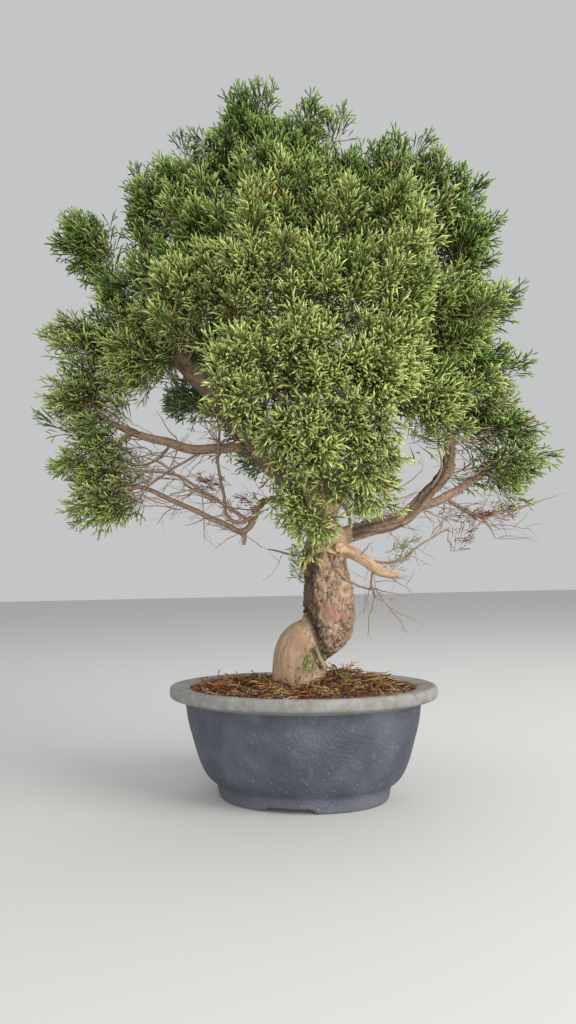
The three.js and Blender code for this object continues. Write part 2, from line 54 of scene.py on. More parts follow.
# %% [markdown]
# ## Two small tools
#
# Colours are easiest to judge as the hex numbers of a picture, but a renderer adds light in linear values,
# so one function turns the first into the second. The other adds a shader node, sets it up and links it, so
# that each material below reads as a short recipe.


# %% Colours and shader nodes
def linear(hex_colour):
    """Linear RGBA of an sRGB hex colour: c/12.92 under 0.04045, and ((c + 0.055)/1.055)^2.4 above."""
    srgb = np.array([int(hex_colour[i : i + 2], 16) for i in (1, 3, 5)]) / 255
    low = srgb / 12.92
    high = ((srgb + 0.055) / 1.055) ** 2.4
    return (*np.where(srgb < 0.04045, low, high), 1.0)


def add(tree, kind, inputs=None, **settings):
    """Adds a shader node. An input is a constant or the output socket of another node."""
    node = tree.nodes.new("ShaderNode" + kind)
    for name, value in settings.items():
        setattr(node, name, value)
    for key, value in (inputs or {}).items():
        if isinstance(value, bpy.types.NodeSocket):
            tree.links.new(value, node.inputs[key])
        else:
            node.inputs[key].default_value = value
    return node


def ramp(tree, factor, *stops):
    """A colour ramp through (place, value) stops; a value is a hex colour or a grey from 0 to 1."""
    node = add(tree, "ValToRGB", {0: factor})
    elements = node.color_ramp.elements
    while len(elements) < len(stops):
        elements.new(0.5)
    for element, (place, value) in zip(elements, stops):
        element.position = place
        element.color = linear(value) if isinstance(value, str) else (value, value, value, 1)
    return node.outputs[0]


def blend(tree, share, below, above, kind="MIX"):
    """A colour between two others; at MIX, (1 - share) below + share above."""
    return add(tree, "Mix", {0: share, 6: below, 7: above}, data_type="RGBA", blend_type=kind).outputs[2]


def cloudy(tree, place, scale, detail, roughness=0.5):
    """Layered noise from 0 to 1: as many octaves as the detail says, each times the roughness."""
    inputs = {"Vector": place, "Scale": scale, "Detail": detail, "Roughness": roughness}
    return add(tree, "TexNoise", inputs).outputs[0]


def new_material(name):
    """An empty node material: its tree, and the Principled BSDF that everything ends in."""
    material = bpy.data.materials.new(name)
    material.use_nodes = True
    tree = material.node_tree
    shader = tree.nodes["Principled BSDF"]
    return material, tree, shader


print("mid grey #808080 is", round(linear("#808080")[0], 3), "in linear light")

# %% [markdown]
# ## From arrays to a piece
#
# Every fine piece here is computed as whole arrays of points and faces, in millimetres from the middle of
# the pot on the ground. One function makes the mesh, gives it its material, and hangs it on the body of the
# tree. The volume that a closed mesh encloses comes out positive only when its faces look outwards, so the
# function checks that too.


# %% A mesh piece from arrays
def mesh_piece(name, points, faces, material, slot, stands_for=(), smooth=True, **attributes):
    """A closed piece. Volume: a sixth of the sum of a . (b x c) over the triangles of all the faces."""
    mesh = bpy.data.meshes.new(name)
    face_lists = [np.asarray(part) for part in faces if len(part)]
    sizes = np.concatenate([np.full(len(part), part.shape[1]) for part in face_lists])
    corners = np.concatenate([part.ravel() for part in face_lists])
    mesh.vertices.add(len(points))
    mesh.vertices.foreach_set("co", (points * MM + POT_MIDDLE).astype(np.float32).ravel())
    mesh.loops.add(len(corners))
    mesh.loops.foreach_set("vertex_index", corners.astype(np.int32))
    mesh.polygons.add(len(sizes))
    mesh.polygons.foreach_set("loop_start", (np.cumsum(sizes) - sizes).astype(np.int32))
    mesh.update(calc_edges=True)
    mesh.polygons.foreach_set("use_smooth", np.full(len(sizes), smooth))
    for key, values in attributes.items():
        attribute = mesh.attributes.new(key, "FLOAT_VECTOR", "POINT")
        attribute.data.foreach_set("vector", np.asarray(values, np.float32).ravel())
    volume = 0.0
    for part in face_lists:
        a = points[part[:, 0]]
        for k in range(1, part.shape[1] - 1):
            volume += np.einsum("ij,ij->", a, np.cross(points[part[:, k]], points[part[:, k + 1]])) / 6
    mesh.materials.append(material)
    piece = bpy.data.objects.new(name, mesh)
    bpy.context.scene.collection.objects.link(piece)
    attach(piece, "root")
    if stands_for:
        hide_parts(*stands_for)
    triangles = int((sizes - 2).sum())
    assert volume > 0, name
    print(f"{name}: {triangles} triangles, {volume / 1000:.1f} cubic cm")
    return piece


# %% [markdown]
# ## Noise
#
# Bark, soil and the bends of shoots are uneven in a way that has a size but no pattern. Value noise gives
# that: random numbers at the corners of a grid of cubes, blended smoothly in between. Cell noise gives
# plates with cracks between them, from the distances to the two nearest of a cloud of random points.


# %% Noise over arrays of points
def cell_number(cells, seed):
    """A random number from 0 to 1 for each whole-number cell, from a hash of its three numbers."""
    mixed = (cells @ np.array([374761393, 668265263, 2147483629]) + seed * 1274126177) & 0xFFFFFFFF
    mixed = ((mixed ^ (mixed >> 13)) * 1103515245) & 0xFFFFFFFF
    mixed = mixed ^ (mixed >> 16)
    return (mixed & 0xFFFF) / 65535


def noise(points, size, seed):
    """Value noise from -1 to 1: random corner numbers, blended across each cube by 3t^2 - 2t^3."""
    scaled = points / size
    cells = np.floor(scaled).astype(np.int64)
    part = scaled - cells
    part = part * part * (3 - 2 * part)
    total = np.zeros(points.shape[:-1])
    for corner in np.ndindex(2, 2, 2):
        share = np.prod(np.where(corner, part, 1 - part), axis=-1)
        total += share * cell_number(cells + np.array(corner), seed)
    return 2 * total - 1


def plates(points, size, seed):
    """Cell noise: how much nearer the nearest random point is than the second one, and its number."""
    scaled = points / size
    cells = np.floor(scaled).astype(np.int64)
    nearest = np.full(points.shape[:-1], 9.0)
    second = nearest.copy()
    number = np.zeros(points.shape[:-1])
    for corner in np.ndindex(3, 3, 3):
        cell = cells + np.array(corner) - 1
        place = cell + np.stack([cell_number(cell, seed + k) for k in range(3)], axis=-1)
        distance = np.linalg.norm(scaled - place, axis=-1)
        closer = distance < nearest
        second = np.where(closer, nearest, np.minimum(second, distance))
        number = np.where(closer, cell_number(cell, seed + 3), number)
        nearest = np.where(closer, distance, nearest)
    return second - nearest, number


def smoothstep(low, high, value):
    """0 below low, 1 above high, and 3t^2 - 2t^3 between."""
    t = np.clip((value - low) / (high - low), 0, 1)
    return t * t * (3 - 2 * t)


print("noise at three points:", np.round(noise(np.array([[0.2, 0.1, 0], [3, 4, 5], [9, 9, 9.5]]), 2.0, 1), 2))

# %% [markdown]
# ## Camera, ground and light
#
# The camera stands just above the rim of the pot, nearly level and close, so the underside of the crown
# shows and the rim is a thin oval. The floor is a wide sheet of pale matt paper. A bright even room fills
# the shadows, as beside a big window, and a large lamp from the right shapes the pot and the trunk.
# A lower lamp in front reaches under the crown.

# %% Camera
scene = bpy.context.scene
CAMERA_PLACE = np.array([-8.0, -679.0, 195.0])
PITCH = np.radians(4.7)
ROLL = np.radians(-1.23)
LONG_SIDE_PIXELS = 1024
FOCAL_PIXELS = 750.0

forward = np.array([0, np.cos(PITCH), np.sin(PITCH)])
level_up = np.array([0, -np.sin(PITCH), np.cos(PITCH)])
level_right = np.array([1.0, 0, 0])
right = np.cos(ROLL) * level_right + np.sin(ROLL) * level_up
up = -np.sin(ROLL) * level_right + np.cos(ROLL) * level_up

lens = bpy.data.cameras.new("camera")
lens.sensor_width = 36
lens.lens = lens.sensor_width * FOCAL_PIXELS / LONG_SIDE_PIXELS
camera = bpy.data.objects.new("camera", lens)
scene.collection.objects.link(camera)
pose = np.eye(4)
pose[:3, :3] = np.stack([right, up, -forward], axis=1)
pose[:3, 3] = CAMERA_PLACE * MM + POT_MIDDLE
camera.matrix_world = pose.T.tolist()
lens.clip_start = 0.01
lens.clip_end = 50
scene.camera = camera
print("lens:", round(lens.lens, 2), "mm")

# %% Pale floor
FLOOR_HALF = 6000.0  # mm

floor_corners = FLOOR_HALF * MM * np.array([[-1, -1, 0], [1, -1, 0], [1, 1, 0], [-1, 1, 0]])
floor_mesh = bpy.data.meshes.new("floor")
floor_mesh.from_pydata(floor_corners.tolist(), [], [(0, 1, 2, 3)])
floor = bpy.data.objects.new("floor", floor_mesh)
scene.collection.objects.link(floor)

paper, _, paper_shader = new_material("paper_floor")
paper_shader.inputs["Base Color"].default_value = linear("#d0d0ce")
paper_shader.inputs["Roughness"].default_value = 0.9
floor_mesh.materials.append(paper)


# %% Light
def soft_lamp(name, place, target, size, power, colour):
    """A square area lamp, in millimetres, that looks from its place towards its target."""
    data = bpy.data.lights.new(name, "AREA")
    data.size = size * MM
    data.energy = power
    data.color = linear(colour)[:3]
    lamp = bpy.data.objects.new(name, data)
    scene.collection.objects.link(lamp)
    back = np.array(place, float) - target
    back /= np.linalg.norm(back)
    side = np.cross([0, 0, 1], back)
    side /= np.linalg.norm(side)
    matrix = np.eye(4)
    matrix[:3, :3] = np.stack([side, np.cross(back, side), back], axis=1)
    matrix[:3, 3] = np.array(place) * MM
    lamp.matrix_world = matrix.T.tolist()


soft_lamp("key", (1500, -1000, 1200), (0, 0, 300), 1200, 34, "#fff9f2")
soft_lamp("fill", (-1500, -900, 800), (0, 0, 350), 1400, 2, "#eef3ff")
soft_lamp("front", (300, -1700, 300), (0, 0, 220), 900, 17, "#fffaf4")
soft_lamp("top", (200, 300, 1900), (0, 0, 350), 1500, 8, "#f8fbff")
world = bpy.data.worlds.new("room")
scene.world = world
world.use_nodes = True
world.node_tree.nodes["Background"].inputs["Color"].default_value = linear("#e6e7e8")
world.node_tree.nodes["Background"].inputs["Strength"].default_value = 0.7
scene.view_settings.view_transform = "Standard"

# %% [markdown]
# ## The pot
#
# A training pot like this is pressed stoneware: an oval with a turned-out rim, a rounded bead along the
# rim's edge and a foot ring with a shallow arch in the middle of each long side. A lathe shape squeezed
# across gives that form. The corners of
# the profile are cut once, which rounds them.

# %% Profile of the pot
POT_RATIO = 0.708
POT_TURN = np.radians(-14)
POT_PROFILE = np.array(
    [
        [0, 9], [58, 9], [61.5, 8.6], [63, 7], [63.4, 1.2], [64.4, 0], [73.6, 0], [75, 1.2], [76.4, 5],
        [77.4, 11], [78.8, 13.6], [84, 16.6], [88.4, 22], [92, 29], [96, 40], [99, 51], [102, 61],
        [104, 70], [104.9, 78], [105.6, 81.6],
        [108.4, 84.2], [112, 85.4], [116.6, 86], [119.2, 87.2], [120, 89.4], [120, 93.6], [119.4, 95.6],
        [117.6, 96.9], [115.4, 97], [113.6, 96.4], [108, 95.9], [103.6, 95.7], [101, 94.4], [99.6, 90],
        [98, 82], [95, 64], [92, 48],
        [86, 34], [78, 20], [72, 15.4], [66, 14.5], [0, 14.5],
    ]
)
FOOT_ARCH_HALF = 21.0
FOOT_ARCH_HEIGHT = 4.0
POT_SECTORS = 192


def cut_corners(profile):
    """One round of corner cutting: each side keeps only its middle half, so two points per side."""
    a, b = profile[:-1], profile[1:]
    cut = np.stack([0.75 * a + 0.25 * b, 0.25 * a + 0.75 * b], axis=1).reshape(-1, 2)
    return np.concatenate([profile[:1], cut, profile[-1:]])


def turn_to_pot(points):
    """From the pot's own long axis to where the pot stands: x cos t - y sin t, x sin t + y cos t."""
    cosine, sine = np.cos(POT_TURN), np.sin(POT_TURN)
    x, y, z = points[..., 0], points[..., 1], points[..., 2]
    return np.stack([x * cosine - y * sine, x * sine + y * cosine, z], axis=-1)


def ring_faces(rings, sectors, offset=0):
    """Quads between rings of points that follow each other, each ring closed on itself."""
    ring, sector = np.meshgrid(np.arange(rings - 1), np.arange(sectors), indexing="ij")
    following = (sector + 1) % sectors
    corners = [ring * sectors + sector, ring * sectors + following]
    corners += [corners[1] + sectors, corners[0] + sectors]
    return offset + np.stack(corners, axis=-1).reshape(-1, 4)


def lathe_oval(profile, sectors):
    """Points (r cos a, ratio r sin a, z) for each profile point and angle, and the faces, ends closed."""
    angle = np.linspace(0, 2 * np.pi, sectors, endpoint=False)
    radius, height = profile[1:-1, 0], profile[1:-1, 1]
    points = np.stack(
        [
            np.outer(radius, np.cos(angle)),
            np.outer(radius, np.sin(angle)) * POT_RATIO,
            np.outer(height, np.ones(sectors)),
        ],
        axis=-1,
    ).reshape(-1, 3)
    rings = len(radius)
    ends = np.array([[0, 0, profile[0, 1]], [0, 0, profile[-1, 1]]])
    sector = np.arange(sectors)
    following = (sector + 1) % sectors
    last = (rings - 1) * sectors
    start = np.stack([np.full(sectors, rings * sectors), following, sector], axis=1)
    end = np.stack([np.full(sectors, rings * sectors + 1), last + sector, last + following], axis=1)
    return np.concatenate([points, ends]), [ring_faces(rings, sectors), np.concatenate([start, end])]


fine_profile = cut_corners(POT_PROFILE)
pot_points, pot_faces = lathe_oval(fine_profile, POT_SECTORS)
print("pot profile points:", len(fine_profile), "height", fine_profile[:, 1].max(), "mm")

# %% [markdown]
# The arch under the foot lifts the bottom of the ring in the middle of each long side. Its ends are rounded:
# a smooth step does that. Only the front arch can be seen, so the one at the back is a guess.

# %% Foot arch
arch = smoothstep(FOOT_ARCH_HALF + 3, FOOT_ARCH_HALF - 3, np.abs(pot_points[:, 0]))
ring_radius = np.hypot(pot_points[:, 0], pot_points[:, 1] / POT_RATIO)
on_foot = (pot_points[:, 2] < 8) & (ring_radius > 60)
lift = np.maximum(0, FOOT_ARCH_HEIGHT * arch - pot_points[:, 2])
pot_points[:, 2] += np.where(on_foot, lift, 0)


# %% [markdown]
# The clay is dark slate grey with a leathery skin, as clay has from a mould lined with cloth. Where it has
# stood in the weather, lime has dried on it in pale clouds and scuffs, thickest on the rim, where it turns
# grey-green. Two noise textures of different sizes place the lime, and the height in the object's own
# coordinates strengthens it on the rim.


# %% Stoneware material
def make_stoneware():
    """Slate-grey pressed clay: matt, leathery to the touch, clouded with pale dried lime."""
    material, tree, shader = new_material("stoneware_weathered")
    place = add(tree, "TexCoord").outputs["Object"]
    height = add(tree, "SeparateXYZ", {0: place}).outputs["Z"]
    # clouds of lime 40 mm across, scuffs of 9 mm and a skin of 1.6 mm grains
    cloud = cloudy(tree, place, 25, 6, 0.6)
    scuff = cloudy(tree, place, 110, 4, 0.65)
    skin = cloudy(tree, place, 620, 3, 0.6)
    grains = add(tree, "TexVoronoi", {"Vector": place, "Scale": 420})
    on_rim = add(tree, "MapRange", {"Value": height, "From Min": 0.0825, "From Max": 0.0845}).outputs[0]
    clay = ramp(tree, cloud, (0.3, "#393d49"), (0.5, "#474c59"), (0.7, "#5c626f"))
    limed = ramp(tree, scuff, (0.56, 0.0), (0.8, 0.4))
    body = blend(tree, limed, clay, linear("#7e838d"))
    dusty = ramp(tree, scuff, (0.3, "#77756a"), (0.5, "#888884"), (0.7, "#9a9c9b"))
    rim = blend(tree, on_rim, body, dusty)
    # splashes of hard water dry as dots about a millimetre wide, most of them low on the wall
    drops = add(tree, "TexVoronoi", {"Vector": place, "Scale": 150}).outputs["Distance"]
    dots = ramp(tree, drops, (0.07, 0.6), (0.13, 0.0))
    from_foot = {"Value": height, "From Min": 0.05, "From Max": 0.0, "To Min": 0.3}
    low = add(tree, "MapRange", from_foot).outputs[0]
    dotted = add(tree, "Math", {0: dots, 1: low}, operation="MULTIPLY").outputs[0]
    dusted = ramp(tree, low, (0.75, 0.0), (1.0, 0.4))
    dusty_foot = blend(tree, dusted, rim, linear("#80848c"))
    final = blend(tree, dotted, dusty_foot, linear("#b4b7b8"))
    tree.links.new(final, shader.inputs["Base Color"])
    rough = add(tree, "MapRange", {"Value": scuff, "To Min": 0.46, "To Max": 0.72}).outputs[0]
    tree.links.new(rough, shader.inputs["Roughness"])
    pressed = add(tree, "MapRange", {"Value": on_rim, "To Min": 0.6, "To Max": 0.2}).outputs[0]
    grain_depth = grains.outputs["Distance"]
    coarse = add(tree, "Bump", {"Strength": pressed, "Distance": 0.0009, "Height": grain_depth}).outputs[0]
    fine = add(tree, "Bump", {"Strength": 0.7, "Distance": 0.0007, "Height": skin, "Normal": coarse}).outputs[0]
    tree.links.new(fine, shader.inputs["Normal"])
    return material


stoneware = make_stoneware()
pot = mesh_piece("pot_fine", turn_to_pot(pot_points), pot_faces, stoneware, "stoneware", ["pot"])

# %% [markdown]
# Two holes in the floor let the water out. They can't be seen from outside and are a guess. Here a
# Boolean modifier cuts two cylinders out of the floor, and its result takes the place of the pot's mesh. A
# square of plastic mesh lies over each hole to keep the soil in, and the model already has both squares.

# %% Drain holes and their meshes
DRAIN_RADIUS = 9.0
DRAIN_X = 38.0
DRAIN_SIDES = 40
DRAIN_FROM, DRAIN_TO = 4.0, 20.0  # mm above the ground, past both faces of the floor


def cut_hole(piece, centre_x):
    """Cuts an upright cylinder out: rings (x + r cos a, r sin a) at two heights, closed by two faces."""
    angle = np.linspace(0, 2 * np.pi, DRAIN_SIDES, endpoint=False)
    ring = DRAIN_RADIUS * np.stack([np.cos(angle), np.sin(angle), 0 * angle], axis=1) + [centre_x, 0, 0]
    points = np.concatenate([ring + [0, 0, DRAIN_FROM], ring + [0, 0, DRAIN_TO]])
    sector = np.arange(DRAIN_SIDES)
    faces = ring_faces(2, DRAIN_SIDES).tolist() + [sector[::-1].tolist(), (sector + DRAIN_SIDES).tolist()]
    mesh = bpy.data.meshes.new("drill")
    mesh.from_pydata((turn_to_pot(points) * MM + POT_MIDDLE).tolist(), [], faces)
    drill = bpy.data.objects.new("drill", mesh)
    scene.collection.objects.link(drill)
    boolean = piece.modifiers.new("hole", "BOOLEAN")
    boolean.object = drill
    boolean.operation = "DIFFERENCE"
    boolean.solver = "EXACT"
    finished = bpy.data.meshes.new_from_object(piece.evaluated_get(bpy.context.evaluated_depsgraph_get()))
    piece.modifiers.remove(boolean)
    piece.data = finished
    bpy.data.objects.remove(drill)


for centre_x in (-DRAIN_X, DRAIN_X):
    cut_hole(pot, centre_x)
print("pot_fine with its holes:", len(pot.data.polygons), "faces")


def make_drain_mesh():
    """Extruded polyethylene net: dull black-green plastic."""
    material, tree, shader = new_material("polyethylene_net")
    place = add(tree, "TexCoord").outputs["Object"]
    mottle = cloudy(tree, place, 300, 3)
    colour = ramp(tree, mottle, (0.35, "#1d241f"), (0.65, "#34403a"))
    tree.links.new(colour, shader.inputs["Base Color"])
    shader.inputs["Roughness"].default_value = 0.55
    return material


drain_mesh = make_drain_mesh()
for side in ("left", "right"):
    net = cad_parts[f"drain_mesh_{side}"]
    net.data.materials.clear()
    net.data.materials.append(drain_mesh)

# %% [markdown]
# ## Soil and what lies on it
#
# The soil is one closed body that fills the pot: a lathed underside that follows the inside of the wall, and
# a top that rises a little towards the trunk, with a mound against its right side. Crumbs of several sizes
# make the top uneven, so two noises of 9 and 3.5 mm are added to the height.

# %% Form of the soil
SOIL_EDGE = 92.4
SOIL_RADIUS = 99.8
SOIL_CROWN = 4.0
MOUND_PLACE = np.array([38.0, 4.0])
MOUND_SPREAD = 24.0
MOUND_RISE = 13.0
SOIL_RINGS = 44


def soil_height(points):
    """Height of the top: edge + crown + mound + crumbs, all fading to nothing at the wall."""
    x, y = points[:, 0], points[:, 1]
    inward = np.maximum(0, 1 - np.hypot(x, y / POT_RATIO) / SOIL_RADIUS)
    mound = MOUND_RISE * np.exp(-((np.hypot(x - MOUND_PLACE[0], y - MOUND_PLACE[1]) / MOUND_SPREAD) ** 2))
    flat = np.stack([x, y, np.zeros_like(x)], axis=1)
    crumbs = 1.5 * noise(flat, 9.0, 61) + 0.9 * noise(flat, 3.5, 62)
    return SOIL_EDGE + np.minimum(1, 5 * inward) * (SOIL_CROWN * np.minimum(1, 2 * inward) + mound + crumbs)


underside = [[0, 15.2], [65, 15.2], [76.5, 21], [90.8, 48], [96.8, 82], [98.4, 89.5]]
top_rings = [[radius, SOIL_EDGE] for radius in np.linspace(SOIL_RADIUS, 0, SOIL_RINGS)]
soil_points, soil_faces = lathe_oval(np.array(underside + top_rings), POT_SECTORS)
on_top = soil_points[:, 2] > SOIL_EDGE - 0.01
soil_points[on_top, 2] = soil_height(soil_points[on_top])
top_heights = soil_points[on_top, 2]
print("soil from", round(float(top_heights.min()), 1), "to", round(float(top_heights.max()), 1), "mm")


# %% [markdown]
# Damp soil is dark, nearly black in the hollows, where the darkening is painted shade, and brown where the crumbs
# have dried, with pale grains of pumice and lava among them. A cell texture of 2.4 mm gives each crumb its own
# tone, and its edges are darkened as painted shade in the gaps between crumbs. Moss has taken hold in a few soft
# patches.


# %% Soil material
def make_soil():
    """Bonsai soil: crumbs of baked clay, lava and pumice, dry on top, with a film of moss."""
    material, tree, shader = new_material("bonsai_soil")
    place = add(tree, "TexCoord").outputs["Object"]
    crumbs = add(tree, "TexVoronoi", {"Vector": place, "Scale": 420})
    patches = cloudy(tree, place, 45, 5, 0.6)
    tone = add(tree, "SeparateXYZ", {0: crumbs.outputs["Color"]}).outputs[0]
    dry = ramp(tree, tone, (0.0, "#241a12"), (0.45, "#3d2d20"), (0.8, "#5f4a36"), (0.95, "#8d7c66"))
    # painted shade: each crumb darkens towards its edges, as in the gaps between crumbs
    painted_gap_shade = ramp(tree, crumbs.outputs["Distance"], (0.35, 1.0), (0.75, 0.35))
    shaded = blend(tree, 1.0, dry, painted_gap_shade, "MULTIPLY")
    moss = ramp(tree, patches, (0.6, 0.0), (0.66, 0.55))
    final = blend(tree, moss, shaded, linear("#4f5a2b"))
    tree.links.new(final, shader.inputs["Base Color"])
    shader.inputs["Roughness"].default_value = 0.95
    bump = add(tree, "Bump", {"Strength": 0.8, "Distance": 0.001, "Height": crumbs.outputs["Distance"]})
    tree.links.new(bump.outputs[0], shader.inputs["Normal"])
    return material


mesh_piece("soil_fine", turn_to_pot(soil_points), soil_faces, make_soil(), "soil", ["soil"])

# %% [markdown]
# ## Smooth curves for wood
#
# Limbs and twigs grow along curves without corners. A centripetal Catmull-Rom curve passes through every
# station of a limb and never loops between them, and its tangents come straight from the stations. Rings of
# points square to the curve then make a tube whose thickness follows the radii.


# %% Curves and tubes
def along_curve(stations, spacing):
    """Points, radii and lengths along a centripetal Catmull-Rom curve, evenly spaced.

    Each stretch is a cubic from its two ends and the tangents there, which weigh the neighbouring chords by
    the square roots of their lengths.
    """
    stations = np.asarray(stations, float)
    places = stations[:, :3]
    before, after = 2 * places[0] - places[1], 2 * places[-1] - places[-2]
    padded = np.concatenate([[before], places, [after]])
    samples = np.linspace(0, len(places) - 1, 24 * (len(places) - 1) + 1)
    stretch = np.minimum(samples.astype(int), len(places) - 2)
    t = (samples - stretch)[:, None]
    x0, x1, x2, x3 = (padded[stretch + k] for k in range(4))
    d0, d1, d2 = (
        np.sqrt(np.linalg.norm(b - a, axis=1))[:, None] for a, b in ((x0, x1), (x1, x2), (x2, x3))
    )
    t1 = ((x1 - x0) / d0 - (x2 - x0) / (d0 + d1) + (x2 - x1) / d1) * d1
    t2 = ((x2 - x1) / d1 - (x3 - x1) / (d1 + d2) + (x3 - x2) / d2) * d1
    curve = x1 + t1 * t + (3 * (x2 - x1) - 2 * t1 - t2) * t**2 + (2 * (x1 - x2) + t1 + t2) * t**3
    radius = np.interp(samples, np.arange(len(places)), stations[:, 3])
    length = np.concatenate([[0], np.cumsum(np.linalg.norm(np.diff(curve, axis=0), axis=1))])
    count = max(2, int(round(length[-1] / spacing)) + 1)
    even = np.linspace(0, length[-1], count)
    centre = np.stack([np.interp(even, length, curve[:, k]) for k in range(3)], axis=1)
    return centre, np.interp(even, length, radius), even


def frames_along(centre):
    """Tangent, side and third direction at each point, with the side square to the tangent."""
    tangent = np.gradient(centre, axis=0)
    tangent /= np.linalg.norm(tangent, axis=1)[:, None]
    steadiest = np.eye(3)[np.argmin(np.abs(tangent).max(axis=0))]
    side = steadiest - (tangent @ steadiest)[:, None] * tangent
    side /= np.linalg.norm(side, axis=1)[:, None]
    return tangent, side, np.cross(tangent, side)


def tube(stations, sides, spacing):
    """Rings centre + r (side cos a + third sin a), closed at both ends; also the straightened places."""
    centre, radius, length = along_curve(stations, spacing)
    _, side, third = frames_along(centre)
    angle = np.linspace(0, 2 * np.pi, sides, endpoint=False)
    ring = side[:, None] * np.cos(angle)[None, :, None] + third[:, None] * np.sin(angle)[None, :, None]
    points = (centre[:, None] + radius[:, None, None] * ring).reshape(-1, 3)
    across = [np.outer(radius, np.cos(angle)), np.outer(radius, np.sin(angle))]
    straight = np.stack([*across, np.outer(length, np.ones(sides))], axis=-1).reshape(-1, 3)
    rings = len(centre)
    caps = np.array([np.arange(sides)[::-1], (rings - 1) * sides + np.arange(sides)])
    return points, [ring_faces(rings, sides), caps], straight


print("rings of a test curve:", len(along_curve([[0, 0, 0, 1], [0, 10, 20, 1], [0, 0, 40, 1]], 2)[0]))

# %% Stations of the limbs
LIMBS = {
    "knee": [
        [-2, 2, 60, 12], [-2, 1, 76, 22], [-1, 0, 92, 25], [-1, 0, 108, 25.5], [0, 0, 122, 25],
        [3, 0, 134, 22.5], [7, 0, 144, 17], [10, 0, 150, 9],
    ],
    "upper_trunk": [
        [14, 0, 125, 10], [20, 0, 134, 18.5], [25, 0, 145, 23], [27, 0, 158, 24.5], [27, 0, 172, 23.5],
        [25, 0, 189, 21.5], [23, 0, 207, 20.5], [27, 2, 222, 19.5], [26, 4, 238, 15],
    ],
    "leader": [
        [26, 3, 230, 14], [20, 8, 262, 12], [16, 12, 300, 10.5], [10, 12, 350, 9.5], [0, 8, 410, 8],
        [-14, 5, 470, 6.5], [-24, 2, 530, 4.5], [-30, 0, 596, 2.4],
    ],
    "left_limb": [
        [27, -2, 226, 13], [14, -5, 257, 12], [-6, -12, 279, 11], [-30, -18, 301, 10.5], [-49, -20, 323, 10],
        [-67, -20, 351, 9.5], [-84, -18, 370, 9], [-103, -15, 391, 8], [-117, -10, 419, 6.5],
        [-128, -4, 452, 5], [-134, 0, 490, 3.4], [-128, 4, 524, 2.2],
    ],
    "right_limb": [
        [28, 0, 222, 9], [39, -2, 227, 8.2], [61, -8, 233, 7.6], [92, -12, 241, 7.4], [105, -12, 251, 7],
        [120, -10, 267, 6.6], [136, -8, 285, 6], [142, 0, 314, 5.4], [149, 5, 352, 4.6], [152, 5, 400, 3.6],
        [150, 2, 450, 2.6],
    ],
    "jin": [[30, -4, 212, 7], [44, -10, 214, 6], [58, -16, 206, 5], [71, -22, 195, 4.6], [87, -26, 192, 4.4]],
    "knob": [[36, -10, 215, 5.5], [37, -25, 217, 5]],
    "front_limb": [
        [24, -6, 244, 8], [22, -40, 268, 6.6], [20, -80, 288, 5.4], [24, -112, 312, 4.2], [28, -126, 345, 2.8],
    ],
    "back_right": [[26, 4, 238, 8], [42, 40, 272, 6.4], [66, 80, 308, 5], [88, 104, 350, 3]],
    "back_left": [[17, 12, 292, 7], [-10, 48, 328, 5.6], [-42, 86, 356, 4.2], [-64, 112, 388, 2.8]],
}
BRANCHES = [
    [[103, -12, 249, 4.2], [138, -10, 262, 3.6], [167, -5, 281, 2.8], [184, 0, 296, 2.2]],
    [[-44, -19, 310, 4.8], [-85, -20, 306, 4.4], [-112, -18, 313, 4], [-139, -15, 322, 3.4], [-163, -8, 333, 2.5],
     [-182, -4, 348, 2]],
    [[-146, -13, 324, 2.6], [-160, -13, 313, 2.2], [-180, -10, 301, 1.7]],
    [[-4, -10, 264, 3.4], [-31, -20, 257, 3.1], [-38, -25, 243, 2.9], [-47, -25, 232, 2.6], [-68, -25, 241, 2.5],
     [-102, -25, 257, 2.2], [-137, -25, 273, 1.9], [-158, -22, 277, 1.6], [-176, -20, 268, 1.3]],
    [[-30, -22, 256, 1.8], [-38, -28, 246, 1.7], [-50, -30, 240, 1.6], [-61, -28, 246, 1.5], [-64, -26, 262, 1.4],
     [-68, -24, 300, 1.2], [-66, -24, 330, 0.8]],
    [[11, 8, 345, 6], [10, -34, 378, 4.8], [4, -72, 402, 3.8], [0, -98, 420, 2.6]],
    [[-8, 4, 446, 4.2], [6, -24, 472, 3.4], [14, -46, 488, 2.4]],
    [[4, 8, 386, 5.6], [20, 44, 412, 4.6], [30, 84, 438, 3.6], [34, 106, 462, 2.4]],
    [[14, 12, 322, 6.6], [48, 8, 376, 5.6], [84, 4, 424, 4.4], [116, 2, 480, 3.2], [124, 0, 524, 2.2]],
    [[-2, 8, 416, 5], [-32, 10, 446, 4.2], [-62, 10, 486, 3.4], [-78, 10, 540, 2.2]],
]
